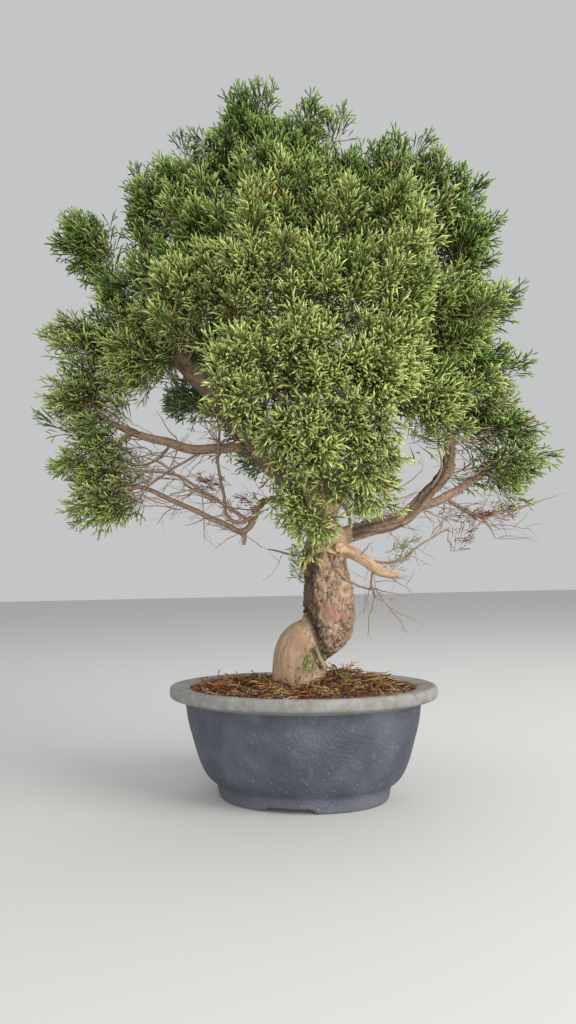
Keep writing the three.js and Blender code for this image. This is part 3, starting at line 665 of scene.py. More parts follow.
TWIGS = [
    [[133, -10, 260, 2.1], [150, -10, 248, 1.8], [164, -10, 243, 1.6], [191, -8, 247, 1.3], [221, -5, 256, 0.7]],
    [[-46, -25, 233, 2.2], [-47, -26, 221, 1.5]],
    [[59, -17, 205, 1.3], [85, -20, 203, 1.2], [107, -20, 218, 1], [134, -20, 232, 0.6]],
    [[36, -16, 194, 1.2], [56, -20, 180, 1], [70, -20, 180, 0.6]],
    [[66, -20, 198, 1.1], [64, -22, 184, 0.9], [67, -22, 172, 0.6]],
    [[6, -10, 210, 1.2], [-11, -14, 213, 1], [-27, -14, 217, 0.6]],
    [[-158, -22, 277, 1.2], [-163, -18, 262, 1], [-173, -15, 244, 0.8], [-178, -12, 228, 0.5]],
    [[-40, -25, 240, 1.6], [-72, -30, 262, 1.4], [-112, -30, 284, 1.2], [-150, -24, 288, 0.9],
     [-172, -16, 290, 0.6]],
    [[-62, -29, 256, 1.3], [-88, -34, 268, 1.1], [-118, -34, 294, 0.8], [-134, -30, 300, 0.5]],
    [[-85, -20, 304, 1.4], [-104, -26, 292, 1.1], [-128, -28, 276, 0.8], [-140, -26, 268, 0.5]],
    [[-112, -18, 311, 1.3], [-128, -8, 298, 1], [-150, -2, 296, 0.6]],
    [[118, -10, 263, 1.4], [128, -22, 284, 1.1], [124, -30, 312, 0.7]],
    [[140, -2, 304, 1.4], [158, -8, 318, 1.1], [176, -12, 322, 0.7]],
    [[48, -6, 230, 1.8], [44, -14, 250, 1.5], [30, -24, 270, 1.1], [26, -34, 290, 0.7]],
    [[70, -9, 235, 1.6], [74, -16, 252, 1.3], [84, -24, 272, 0.8]],
    [[160, -10, 244, 1.1], [172, -12, 232, 0.8], [176, -12, 222, 0.5]],
]
print("limbs:", len(LIMBS), "branches:", len(BRANCHES), "twigs:", len(TWIGS))

# %% [markdown]
# ## One skin over trunk and limbs
#
# Wood doesn't meet wood in a sharp crease: the bark swells round each fork as the limb thickens. The tubes
# of the trunk and the main limbs are therefore joined by a voxel remesh, which gives one skin of even small
# squares over all of them, ready to be carved.

# %% Remesh the trunk
VOXEL = 1.5  # mm


def joined(parts):
    """Several (points, faces) as one: every part's faces count on from the points before it."""
    points, quads, others, offset = [], [], [], 0
    for part_points, part_faces in parts:
        points.append(part_points)
        for faces in part_faces:
            (quads if faces.shape[1] == 4 else others).append(faces + offset)
        offset += len(part_points)
    return np.concatenate(points), quads, others


def voxel_skin(parts, voxel):
    """Points, quads and outward normals of one skin over the parts, in squares of the voxel's size."""
    points, quads, others = joined(parts)
    mesh = bpy.data.meshes.new("rough")
    faces = [face for part in [*quads, *others] for face in part.tolist()]
    mesh.from_pydata(points.tolist(), [], faces)
    rough = bpy.data.objects.new("rough", mesh)
    scene.collection.objects.link(rough)
    remesh = rough.modifiers.new("skin", "REMESH")
    remesh.mode = "VOXEL"
    remesh.voxel_size = voxel
    skin = rough.evaluated_get(bpy.context.evaluated_depsgraph_get()).to_mesh()
    count = len(skin.vertices)
    found = np.zeros(count * 3, np.float32)
    skin.vertices.foreach_get("co", found)
    normals = np.zeros(count * 3, np.float32)
    skin.vertices.foreach_get("normal", normals)
    corners = np.zeros(len(skin.loops), np.int32)
    skin.loops.foreach_get("vertex_index", corners)
    bpy.data.objects.remove(rough)
    return found.reshape(-1, 3).astype(float), corners.reshape(-1, 4), normals.reshape(-1, 3).astype(float)


limb_parts = []
for stations in LIMBS.values():
    limb_points, limb_faces, _ = tube(stations, 28, 3.0)
    limb_parts.append((limb_points, limb_faces))
skin_points, skin_faces, skin_normals = voxel_skin(limb_parts, VOXEL)
print("trunk skin:", len(skin_points), "points,", len(skin_faces), "squares")

# %% [markdown]
# Bark follows the grain, and the grain follows the limb. So each point of the skin looks up the limb that it
# lies on, how far along it is and where round it, and from those gets a place on the same limb drawn out
# straight. Noise that is stretched lengthwise there gives strips that run with every bend.


# %% Places along the grain
def on_limbs(points):
    """For each point: its straightened place on the nearest limb, and its distance from every limb."""
    best = np.full(len(points), 1e9)
    straight = np.zeros((len(points), 3))
    depths = {}
    for name, stations in LIMBS.items():
        centre, radius, length = along_curve(stations, 2.0)
        _, side, third = frames_along(centre)
        apart = np.linalg.norm(points[:, None] - centre[None], axis=2) - radius[None]
        ring = apart.argmin(axis=1)
        depth = apart[np.arange(len(points)), ring]
        step = points - centre[ring]
        across = [np.einsum("ij,ij->i", step, way[ring]) for way in (side, third)]
        place = np.stack([*across, length[ring]], axis=1)
        closer = depth < best
        best = np.where(closer, depth, best)
        straight = np.where(closer[:, None], place, straight)
        depths[name] = depth
    return straight, depths


grain, depths = on_limbs(skin_points)
nearest_limb = np.array(list(depths.values())).argmin(axis=0)
on_limb = {name: nearest_limb == row for row, name in enumerate(LIMBS)}
is_dead = on_limb["jin"] | on_limb["knob"]
is_base = on_limb["knee"] | on_limb["upper_trunk"]
print("points on the trunk:", int(is_base.sum()), "on dead wood:", int(is_dead.sum()))

# %% [markdown]
# The trunk has very different skins side by side. The knee at the bottom left was polished smooth by age, tan and
# ochre with grey-pink streaks. A slanting crease parts it from the upper trunk, where flaky plates lie over each
# other, nearly black along the crease, from a dark crust with painted shade in the crease itself, and darker on
# the left, partly from painted shade on the side that faces left and partly from dark old and shredding bark. A
# reddish scar and a round knot are smooth again. Each of these is a mask from 0 to 1 over the points of the skin.

# %% Masks of the trunk
SLIT = np.array([[11.0, -24.0, 128.9], [14.0, -25.4, 119.0], [18.3, -26.0, 111.1]])
SCARS = np.array([[24.0, -23.0, 161.1], [37.1, -21.0, 158.1]])
KNEE_BLUSH = np.array([3.0, -24.0, 134.0])
KNOT = np.array([40.5, -16.0, 179.7])
COLLAR_HEIGHT = 220.0


def distance_to_line(points, line):
    """Shortest distance from each point to a broken line: to each piece's nearest point, clamped."""
    best = np.full(len(points), 1e9)
    for a, b in zip(line[:-1], line[1:]):
        t = np.clip((points - a) @ (b - a) / ((b - a) @ (b - a)), 0, 1)
        best = np.minimum(best, np.linalg.norm(points - (a + t[:, None] * (b - a)), axis=1))
    return best


x, y, z = skin_points.T
wander = noise(skin_points, 9.0, 11)
between = depths["knee"] - depths["upper_trunk"]
crease = is_base * smoothstep(3.0, 0.3, np.abs(between)) * (z > 112)
crust = on_limb["upper_trunk"] * smoothstep(11, 3, between + 3 * wander) * smoothstep(60, 40, x)
FRONT = np.array([1, 0, 1])  # seen from the front, so that depth doesn't count
FAR = 50  # mm, added behind the front so that no mark comes out at the back
slit_distance = distance_to_line(skin_points * FRONT, SLIT * FRONT) + FAR * (y > -8)
scar_distance = distance_to_line(skin_points * FRONT, SCARS * FRONT) + FAR * (y > -8)
scar = 0.7 * is_base * smoothstep(5.5, 2.0, scar_distance + 6 * noise(skin_points, 5.0, 12))
blush = on_limb["knee"] * smoothstep(15.0, 5.0, np.linalg.norm(skin_points - KNEE_BLUSH, axis=1) + 4 * wander)
knot_distance = np.linalg.norm((skin_points - KNOT) * FRONT, axis=1) + FAR * (y > -4)
knot = smoothstep(9.5, 7.5, knot_distance)
near_fork = (np.hypot(x - 24, y) < 27) * (z < 268)
collar = smoothstep(COLLAR_HEIGHT - 6, COLLAR_HEIGHT + 6, z + 6 * wander) * near_fork
rough = np.select([on_limb["knee"], on_limb["upper_trunk"], is_dead], [0.05, 1.0, 0.1], 0.62)
rough = rough * (1 - 0.7 * scar) * (1 - 0.8 * knot) * (1 - 0.8 * collar)
# painted shade: the side of the skin that faces left, away from the key lamp, is darkened
painted_side_shade = smoothstep(0.1, 0.75, -skin_normals[:, 0] + 0.35 * wander)
old_patches = noise(grain / np.array([1, 1, 3.0]), 14.0, 14)
old_bark = np.where(is_base | is_dead, 0, smoothstep(-0.5, 0.5, old_patches))
high_right = on_limb["right_limb"] * smoothstep(75, 120, x)
shredding = np.maximum.reduce([on_limb["left_limb"], on_limb["leader"], high_right])
shredding = shredding * (0.75 + 0.25 * old_bark)
# one mask of painted shade on the left side and of dark old and shredding bark; the knee and the collar keep
# clear of it
shade_and_dark_bark = np.maximum.reduce([painted_side_shade, 0.8 * old_bark, shredding])
shade_and_dark_bark *= (1 - on_limb["knee"]) * (1 - 0.7 * collar)
print("rough share of the skin:", round(float(rough.mean()), 2))

# %% [markdown]
# The carving moves each point along its normal. Plates stand up with cracks between them, finer noise flakes
# their edges, the crease and the slit sink in, and the knot rises as a ring around a dimple.

# %% Carve the bark
lengthwise = np.where(is_base, 1.5, 3.6)
stretched = grain / np.stack([np.ones_like(lengthwise), np.ones_like(lengthwise), lengthwise], axis=1)
torn = noise(skin_points, 4.0, 13)[:, None]
crack, plate = plates(stretched + 1.4 * wander[:, None] + 1.6 * torn, 6.5, 21)
crack_fine, _ = plates(stretched, 3.0, 31)
height = 1.7 * (plate - 0.5) - 2.2 * smoothstep(0.2, 0.02, crack) + 0.8 * noise(stretched, 3.0, 5)
height += 0.35 * noise(stretched, 1.5, 6) - 0.5 * smoothstep(0.12, 0.02, crack_fine)
carved = rough * (height + 0.2)
carved += crust * (2.2 * noise(skin_points, 4.2, 7) + 1.2 * noise(skin_points, 2.4, 8))
swell = noise(grain / np.array([1, 1, 2.2]), 16.0, 9)
carved += np.where(is_base, 1.8, 0.6) * swell
strands = noise(grain / np.array([1, 1, 9.0]), 3.2, 10)
carved += np.where(on_limb["knee"], 0.5, np.where(is_base, 0.35, 0.9)) * strands
carved -= 1.6 * crease + 2.4 * is_base * smoothstep(2.0, 0.3, slit_distance)
carved += is_base * smoothstep(4.5, 2.2, slit_distance) * smoothstep(0.5, 2.2, slit_distance)
knot_ring = 3.2 * np.exp(-(((knot_distance - 5.5) / 2.0) ** 2))
knot_dimple = 1.2 * np.exp(-((knot_distance / 2.5) ** 2))
carved += knot * (knot_ring - knot_dimple)
trunk_points = skin_points + carved[:, None] * skin_normals
print("carving from", round(float(carved.min()), 1), "to", round(float(carved.max()), 1), "mm")

# %% [markdown]
# The bark's colour comes in layers, as the real one does: grey-brown old bark, paler flakes and black crust, each
# where its mask says, and the smooth tan skin of the knee. Painted shade darkens the cracks between plates and
# strands, the crease, the slit and the knot's dimple, the left side and the thinner wood. The textures read the
# straightened places, so the streaks run along every limb.


# %% Bark material
def make_bark():
    """Old juniper bark: dry, flaky, with painted shade in its cracks; smooth and waxy on the knee."""
    material, tree, shader = new_material("juniper_bark")
    straight = add(tree, "Attribute", attribute_name="grain").outputs["Vector"]
    first_masks = add(tree, "Attribute", attribute_name="masks").outputs["Vector"]
    second_masks = add(tree, "Attribute", attribute_name="more_masks").outputs["Vector"]
    flaky, crust_and_crevice_shade, scarred = add(tree, "SeparateXYZ", {0: first_masks}).outputs
    dead, smooth, shaded = add(tree, "SeparateXYZ", {0: second_masks}).outputs
    crack_shade = add(tree, "Attribute", attribute_name="crack_shade").outputs["Fac"]
    # the straightened places are in mm: strips 2 mm wide and twelve times as long, patches of 7 mm
    lengthwise = add(tree, "Mapping", {"Vector": straight, "Scale": (1, 1, 0.08)}).outputs[0]
    strips = cloudy(tree, lengthwise, 0.5, 5, 0.65)
    squat = add(tree, "Mapping", {"Vector": straight, "Scale": (1, 1, 0.45)}).outputs[0]
    patches = cloudy(tree, squat, 0.14, 5, 0.6)
    flakes = cloudy(tree, squat, 0.62, 6, 0.7)
    specks = cloudy(tree, straight, 0.42, 1)
    flaked = ramp(tree, flakes, (0.34, "#55402f"), (0.44, "#93775d"), (0.54, "#c8ad92"), (0.68, "#e2cdb5"))
    stripped = ramp(tree, strips, (0.3, "#4a3428"), (0.45, "#806552"), (0.56, "#a98e78"), (0.72, "#c9b49f"))
    old = blend(tree, 0.45, flaked, stripped)
    warm = ramp(tree, patches, (0.42, 0.0), (0.6, 0.55))
    aged = blend(tree, warm, old, linear("#cfb199"))
    # painted shade on the left side and on the thinner wood, with the dark colour of old and shredding bark,
    # mixes in dark brown
    shade_and_dark_bark_share = add(tree, "Math", {0: shaded, 1: 0.72}, operation="MULTIPLY").outputs[0]
    side = blend(tree, shade_and_dark_bark_share, aged, linear("#4b3829"))
    # painted shade in the cracks between plates and strands
    painted_crack_shade = ramp(tree, crack_shade, (0.15, 1.0), (0.85, 0.4))
    side = blend(tree, 1.0, side, painted_crack_shade, "MULTIPLY")
    polished = ramp(tree, strips, (0.34, "#77614f"), (0.46, "#a08771"), (0.56, "#b39675"), (0.7, "#9d9086"))
    ochre = ramp(tree, patches, (0.4, "#998b77"), (0.52, "#b6976f"), (0.64, "#a48674"))
    knee_colour = blend(tree, 0.5, polished, ochre)
    skin = blend(tree, smooth, side, knee_colour)
    with_scars = blend(tree, scarred, skin, linear("#94675a"))
    # the black crust, with painted shade in the crease, the slit and the knot's dimple
    black = ramp(tree, flakes, (0.38, "#1c1510"), (0.5, "#4b3a2c"), (0.64, "#8a725b"))
    with_crust_and_crevice_shade = blend(tree, crust_and_crevice_shade, with_scars, black)
    wood = ramp(tree, strips, (0.32, "#80583c"), (0.45, "#b08a68"), (0.57, "#cdb59a"), (0.74, "#c2b4a4"))
    with_wood = blend(tree, dead, with_crust_and_crevice_shade, wood)
    dots = ramp(tree, specks, (0.27, 0.2), (0.33, 1.0))
    speckled = blend(tree, smooth, (1, 1, 1, 1), dots)
    final = blend(tree, 1.0, with_wood, speckled, "MULTIPLY")
    tree.links.new(final, shader.inputs["Base Color"])
    waxy = add(tree, "MapRange", {"Value": smooth, "To Min": 0.88, "To Max": 0.55}).outputs[0]
    tree.links.new(waxy, shader.inputs["Roughness"])
    relief = add(tree, "Math", {0: flakes, 1: strips}, operation="ADD").outputs[0]
    strength = add(tree, "MapRange", {"Value": flaky, "To Min": 0.12, "To Max": 0.85}).outputs[0]
    bump = add(tree, "Bump", {"Strength": strength, "Distance": 0.002, "Height": relief})
    tree.links.new(bump.outputs[0], shader.inputs["Normal"])
    return material


bark = make_bark()
smooth_skin = np.maximum(on_limb["knee"], collar) * (1 - crust)
# painted shade in the slit, the crease and the knot's dimple joins the dark crust in one mask
painted_slit_shade = is_base * smoothstep(2.8, 1.2, slit_distance)
knot_core = 0.7 * knot * smoothstep(3.2, 1.5, knot_distance)
crust_and_painted_crevice_shade = np.maximum.reduce([crust, 0.8 * crease, painted_slit_shade, knot_core])
masks = np.stack([rough, crust_and_painted_crevice_shade, np.maximum(scar, 0.55 * blush)], axis=1)
more_masks = np.stack([is_dead * 1.0, smooth_skin, shade_and_dark_bark], axis=1)
# painted shade in the cracks between plates and strands, less on the trunk's strands
between_plates = np.maximum(0.9 * smoothstep(0.16, 0.02, crack), 0.4 * smoothstep(0.16, 0.02, crack_fine))
between_strands = 0.9 * smoothstep(-0.05, -0.6, strands) * (1 - on_limb["knee"])
crack_shade = np.clip(np.maximum(rough * between_plates, between_strands * (1 - 0.5 * is_base)), 0, 1)
attributes = {"grain": grain, "masks": masks, "more_masks": more_masks}
attributes["crack_shade"] = np.repeat(crack_shade[:, None], 3, axis=1)
mesh_piece("trunk_fine", trunk_points, [skin_faces], bark, "bark", ["trunk"], **attributes)

# %% [markdown]
# ## Thinner branches and bare twigs
#
# Branches that are thinner than a finger are tubes of their own, rooted inside the limb that bears them.
# Twigs of juniper aren't straight: they change direction a little at every place where a side twig once
# grew, so each gets a small seeded wobble.


# %% Branches and twigs
def wobbled(stations, amount, seed):
    """Stations with extra points between them, each moved a little to the side; the ends stay."""
    centre, radius, length = along_curve(stations, 9.0)
    offset = np.stack([noise(centre + 50 * k, 14.0, seed + k) for k in range(3)], axis=1)
    offset *= amount * np.minimum(1, 6 * np.minimum(length, length[-1] - length) / length[-1])[:, None]
    return np.column_stack([centre + offset, radius])


def tubes_piece(name, rows, sides, spacing, amount, seed):
    """One piece of many tubes with bark, each wobbled with its own seed."""
    parts, straights = [], []
    for row, stations in enumerate(rows):
        points, faces, straight = tube(wobbled(stations, amount, seed + 7 * row), sides, spacing)
        parts.append((points, faces))
        straights.append(straight + [0, 0, 40.0 * row])
    points, quads, others = joined(parts)
    straight = np.concatenate(straights)
    plain = np.zeros_like(points)
    bumpy = plain + [0.7, 0, 0]
    # painted shade: the thinner branches and twigs are darkened evenly, as in the shade of the crown
    painted_shade_level = plain + [0, 0, 0.55]
    faces = [np.concatenate(quads), np.concatenate(others)]
    return mesh_piece(name, points, faces, bark, "bark", (), grain=straight, masks=bumpy, more_masks=painted_shade_level)


tubes_piece("branches_fine", BRANCHES, 12, 2.5, 1.6, 100)
tubes_piece("twigs_fine", TWIGS, 7, 3.0, 1.6, 300)

# %% [markdown]
# ## Shoots of scale leaves
#
# The grown leaves of a kishu juniper are tiny scales pressed against the shoot, so a shoot looks like
# a fleshy green string that forks like an antler. Each is a spindle with three sides, slightly bent, with
# three shorter spindles growing from it at a sharp angle. A handful of different shoots is modelled
# once, one unit long along Z, and then placed thousands of times with array arithmetic.

# %% A few different shoots
SHOOT_THICK = 0.035  # radius, of the shoot's length
SHOOT_KINDS = 8
random = np.random.default_rng(7)


def three_sided_faces(last):
    """Triangles of a closed shape: point 0, rings of three points, and the last point."""
    corner = np.arange(3)
    following = (corner + 1) % 3
    faces = [np.stack([np.zeros(3, int), 1 + following, 1 + corner], axis=1)]
    for low in range(1, last - 3, 3):
        faces.append(np.stack([low + corner, low + following, low + 3 + corner], axis=1))
        faces.append(np.stack([low + following, low + 3 + following, low + 3 + corner], axis=1))
    faces.append(np.stack([last - 3 + corner, last - 3 + following, np.full(3, last)], axis=1))
    return np.concatenate(faces)


def spindle(start, end, thick, bend, rings):
    """A closed three-sided spindle: its end points, and rings at the given places of the given girths."""
    axis = end - start
    length = np.linalg.norm(axis)
    side = np.cross(axis / length, [0.3, 0.9, 0.2])
    side /= np.linalg.norm(side)
    third = np.cross(axis / length, side)
    angle = np.radians([0, 120, 240])
    circle = np.outer(np.cos(angle), side) + np.outer(np.sin(angle), third)
    points = [start[None]]
    for place, girth in rings:
        middle = start + place * axis + 4 * place * (1 - place) * bend
        points.append(middle + girth * thick * circle)
    points.append(end[None])
    points = np.concatenate(points)
    return points, three_sided_faces(len(points) - 1)


def make_shoot(sides):
    """One shoot along Z, a unit long, with side shoots; also how far along each point is, 0 to 1."""
    bend = np.array([0.10, 0.05 * random.standard_normal(), 0])
    points, faces = spindle(np.zeros(3), np.array([0, 0, 1.0]), SHOOT_THICK, bend, [(0.82, 1.0)])
    alongs = [points[:, 2]]
    all_points, all_faces, offset = [points], [faces], len(points)
    for row in range(sides):
        place = 0.3 + 0.5 * (row + 0.3 * random.random()) / sides
        turn = 2.4 * row + random.random()
        length = (0.56 - 0.36 * place) * random.uniform(0.75, 1.2)
        spread = np.radians(random.uniform(32, 52))
        root = np.array([0, 0, place]) + 4 * place * (1 - place) * bend
        way = np.array([np.cos(turn) * np.sin(spread), np.sin(turn) * np.sin(spread), np.cos(spread)])
        step = length * way
        points, faces = spindle(root, root + step, 0.9 * SHOOT_THICK, 0.08 * length * way, [(0.8, 1.0)])
        all_points.append(points)
        all_faces.append(faces + offset)
        alongs.append(np.linspace(place, min(1.0, place + length), len(points)))
        offset += len(points)
    return np.concatenate(all_points), np.concatenate(all_faces), np.concatenate(alongs)


shoots = [make_shoot(3) for row in range(SHOOT_KINDS)]
print("triangles in a shoot:", len(shoots[0][1]))

# %% [markdown]
# ## Plumes on every spray
#
# The twigs end in small fans of shoots. For each spray, points are drawn at random over the solid that the
# frame holds there, more of them on its outer side, and a fan is grown towards each from inside the spray.
# That way the fine foliage keeps the form of the solid that it stands for. The shoots stand round the last
# stretch of the twig, wide at first and closer to it towards the tip.

# %% Growing the fans
PLUME_AREA = 480.0  # square mm of a spray's surface for one fan
PLUME_SHOOTS = 11
NET_TOP = 335.0  # mm above the ground: below this the foliage is thin and twigs show
LOW_SHARE = 0.75  # of the fans, below that height
PLUME_TWIG = 20.0  # mm of twig inside the fan
SHOOT_LENGTH = 25.0  # mm
CANOPY_HEART = np.array([0, 0, 350.0])
GOLDEN_ANGLE = np.pi * (3 - np.sqrt(5))
UPWARD = np.array([0, 0, 0.22])  # shoots turn up to the light
LUMP_SIZE = 34.0  # mm between tufts that stand out of the canopy
LUMP_RISE = 11.0  # mm


def unit(vectors):
    return vectors / np.linalg.norm(vectors, axis=-1, keepdims=True)


def solid_of(name):
    """Corners of the triangles of a CAD node, in mm from the pot's middle: an array (triangles, 3, 3)."""
    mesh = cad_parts[name].data
    mesh.calc_loop_triangles()
    corners = np.zeros(len(mesh.vertices) * 3, np.float32)
    mesh.vertices.foreach_get("co", corners)
    faces = np.zeros(len(mesh.loop_triangles) * 3, np.int32)
    mesh.loop_triangles.foreach_get("vertices", faces)
    return ((corners.reshape(-1, 3) - POT_MIDDLE) / MM)[faces].reshape(-1, 3, 3)


def surface_points(triangles, grow, count, draw):
    """Random points over triangles; a triangle's chance is its area times how far out it faces.

    Inside a triangle: a + (1 - sqrt(p)) (b - a) + q sqrt(p) (c - a) for random p and q.
    """
    a, b, c = triangles.transpose(1, 0, 2)
    cross = np.cross(b - a, c - a)
    area = np.linalg.norm(cross, axis=1)
    outward = np.einsum("ij,j->i", cross / area[:, None], grow)
    chance = area * np.clip(outward + 0.7, 0.12, 1)
    picked = draw.choice(len(area), count, p=chance / chance.sum())
    p, q = np.sqrt(draw.random(count)), draw.random(count)
    return a[picked] + (1 - p)[:, None] * (b - a)[picked] + (q * p)[:, None] * (c - a)[picked]


def grow_fans(tips, seat, grow, draw):
    """Places, ways, sizes and fan numbers of all the shoots, and the twigs that bear them."""
    count = len(tips)
    axis = unit(0.55 * unit(tips - seat) + 0.85 * grow + UPWARD + 0.3 * draw.standard_normal((count, 3)))
    lump = noise(tips, LUMP_SIZE, 43)[:, None]
    rise = draw.uniform(-3, 7, (count, 1)) + LUMP_RISE * lump
    tips = tips + rise * axis + 3 * draw.standard_normal((count, 3))
    twig_end = tips - 0.82 * SHOOT_LENGTH * axis
    twig_start = twig_end - PLUME_TWIG * axis
    side = unit(np.cross(axis, draw.standard_normal((count, 3))))
    third = np.cross(axis, side)
    place = np.linspace(0.12, 1, PLUME_SHOOTS)
    turn = np.arange(PLUME_SHOOTS) * GOLDEN_ANGLE + 6.28 * draw.random((count, 1))
    spread = np.radians(70 - 56 * place) * (0.8 + 0.4 * draw.random((count, PLUME_SHOOTS)))
    spread[:, -1] *= 0.3
    radial = side[:, None] * np.cos(turn)[..., None] + third[:, None] * np.sin(turn)[..., None]
    way = axis[:, None] * np.cos(spread)[..., None] + radial * np.sin(spread)[..., None]
    root = twig_start[:, None] + PLUME_TWIG * place[None, :, None] * axis[:, None]
    size = SHOOT_LENGTH * (0.8 + 0.35 * draw.random((count, PLUME_SHOOTS)))
    fan = np.repeat(np.arange(count), PLUME_SHOOTS)
    root, way, radial = (rows.reshape(-1, 3) for rows in (root, way, radial))
    return root, way, radial, size.ravel(), fan, twig_start, twig_end


def place_copies(shapes, root, way, inward, size, draw):
    """Copies of unit shapes: root + size (x side + y third + z way), bending in towards the twig."""
    side = unit(-inward + np.einsum("ij,ij->i", inward, way)[:, None] * way)
    third = np.cross(way, side)
    kinds = draw.integers(len(shapes), size=len(root))
    points, faces, alongs, owners, offset = [], [], [], [], 0
    for kind, (shape, shape_faces, along) in enumerate(shapes):
        mine = np.flatnonzero(kinds == kind)
        axes = np.stack([side[mine], third[mine], way[mine]], axis=1)
        placed = root[mine, None] + size[mine, None, None] * np.einsum("vk,nkj->nvj", shape, axes)
        points.append(placed.reshape(-1, 3))
        steps = offset + len(shape) * np.arange(len(mine))
        faces.append((shape_faces[None] + steps[:, None, None]).reshape(-1, 3))
        alongs.append(np.tile(along, len(mine)))
        owners.append(np.repeat(mine, len(shape)))
        offset += len(shape) * len(mine)
    return np.concatenate(points), np.concatenate(faces), np.concatenate(alongs), np.concatenate(owners)


# %% [markdown]
# The colour of a shoot tells its age, and painted light lies over it. The youngest tips are bright and the root
# of a shoot is darker. The whole fan is olive-yellow where it hangs in front and below, and deep green at the
# back, the top and the right, where the darkening is painted shade; tufts that stand out are paler, with painted
# shade in the hollows between them. A few shoots have died and turned rust-brown. Three numbers per point carry
# this: the place along the shoot, the paleness of the fan with its painted light, and a random number for the
# shoot.


# %% Foliage material
def make_foliage():
    """Scale leaves: green flesh with a waxy gloss, brighter at the growing tips."""
    material, tree, shader = new_material("juniper_foliage")
    leaf = add(tree, "Attribute", attribute_name="leaf").outputs["Vector"]
    along, pale, chance = add(tree, "SeparateXYZ", {0: leaf}).outputs
    deep = ramp(tree, along, (0.0, "#4f3a20"), (0.3, "#2b3d14"), (0.75, "#5d802b"), (1.0, "#93b44c"))
    light = ramp(tree, along, (0.0, "#7d6236"), (0.3, "#6c7a3a"), (0.75, "#a9b766"), (1.0, "#cbd68a"))
    # the paleness of the fan carries painted light: lighter in front, below and on standing tufts, painted shade
    # at the back, the top, the right and in the hollows
    green = blend(tree, pale, deep, light)
    vary = add(tree, "MapRange", {"Value": chance, "To Min": 0.65, "To Max": 1.25}).outputs[0]
    varied = add(tree, "HueSaturation", {"Value": vary, "Color": green}).outputs[0]
    rust = ramp(tree, chance, (0.992, 0.0), (0.994, 1.0))
    final = blend(tree, rust, varied, linear("#8a4f2c"))
    place = add(tree, "TexCoord").outputs["Object"]
    # scales 0.7 mm long overlap along the shoot
    scales = add(tree, "TexVoronoi", {"Vector": place, "Scale": 1400}).outputs["Distance"]
    bump = add(tree, "Bump", {"Strength": 0.3, "Distance": 0.0002, "Height": scales})
    tree.links.new(final, shader.inputs["Base Color"])
    tree.links.new(bump.outputs[0], shader.inputs["Normal"])
    shader.inputs["Roughness"].default_value = 0.5
    return material


foliage = make_foliage()


def paleness_and_painted_light(points):
    """How olive and light a fan is, with painted light: more in front, below the middle and on tufts that stand
    out, less at the top, the right and in the hollows, as painted shade.
    """
    x, y, z = points.T
    # painted shade at the back, the top and the right, and lighter fans in front and below
    front = 0.3 - y / 190 - (z - 410) / 340 - np.maximum(0, x - 60) / 300
    # the 60 mm noise is the fans' own uneven tone; the lump noise is painted light on the tufts that stand out
    # and painted shade in the hollows between them
    return np.clip(front + 0.25 * noise(points, 60.0, 41) + 0.55 * noise(points, LUMP_SIZE, 43), 0, 1)


# %% One fine piece for each spray
twig_lines = []
shoot_total = 0
for row, name in enumerate(sorted(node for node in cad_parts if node.startswith("spray_"))):
    draw = np.random.default_rng(500 + row)
    triangles = solid_of(name)
    middle = triangles.reshape(-1, 3).mean(axis=0)
    grow = unit(middle - CANOPY_HEART)
    reach = np.percentile(np.linalg.norm(triangles.reshape(-1, 3) - middle, axis=1), 80)
    seat = middle - 0.4 * reach * grow
    a, b, c = triangles.transpose(1, 0, 2)
    area = np.linalg.norm(np.cross(b - a, c - a), axis=1)
    open_share = LOW_SHARE if middle[2] < NET_TOP else 1.0
    fans = int(open_share * area.sum() / 2 / PLUME_AREA)
    tips = surface_points(triangles, grow, fans, draw)
    root, way, inward, size, fan, twig_start, twig_end = grow_fans(tips, seat, grow, draw)
    points, faces, along, owner = place_copies(shoots, root, way, inward, size, draw)
    fan_tone_and_painted_light = paleness_and_painted_light(tips) + 0.2 * draw.standard_normal(fans)
    leaf = np.stack([along, np.clip(fan_tone_and_painted_light, 0, 1)[fan[owner]], draw.random(len(root))[owner]], axis=1)
    mesh_piece(f"{name}_fine", points, [faces], foliage, "foliage", [name], leaf=leaf)
    twig_lines.append((np.repeat(seat[None], fans, axis=0), twig_start, twig_end))
    shoot_total += len(root)
print("shoots:", shoot_total)

# %% [markdown]
# ## Twigs inside the sprays
#
# Between the shoots the red-brown twigs show that bear them. Every fan hangs on a thin crooked stick from
# the core of its spray, and another stick runs up the fan itself. Four crooked sticks are modelled once and
# copied like the shoots.


# %% Sticks
STICK_KINDS = 4
STICK_THICK = 0.017  # radius, of the stick's length


def make_stick(steps, thick, crook):
    """A thin closed stick along Z, a unit long, that changes direction at each step; both ends pointed."""
    height = np.linspace(0, 1, steps + 1)
    centre = np.cumsum(crook * random.standard_normal((steps + 1, 2)), axis=0)
    centre -= centre[:1] + height[:, None] * (centre[-1:] - centre[:1])
    angle = np.radians([0, 120, 240])
    circle = np.stack([np.cos(angle), np.sin(angle)], axis=1)
    girth = thick * (1.1 - 0.6 * height[1:-1])
    rings = centre[1:-1, None] + girth[:, None, None] * circle[None]
    heights = np.broadcast_to(height[1:-1, None, None], rings.shape[:2] + (1,))
    middle = np.concatenate([rings, heights], axis=2)
    points = np.concatenate([[[0, 0, 0]], middle.reshape(-1, 3), [[0, 0, 1]]])
    return points, three_sided_faces(len(points) - 1), points[:, 2]


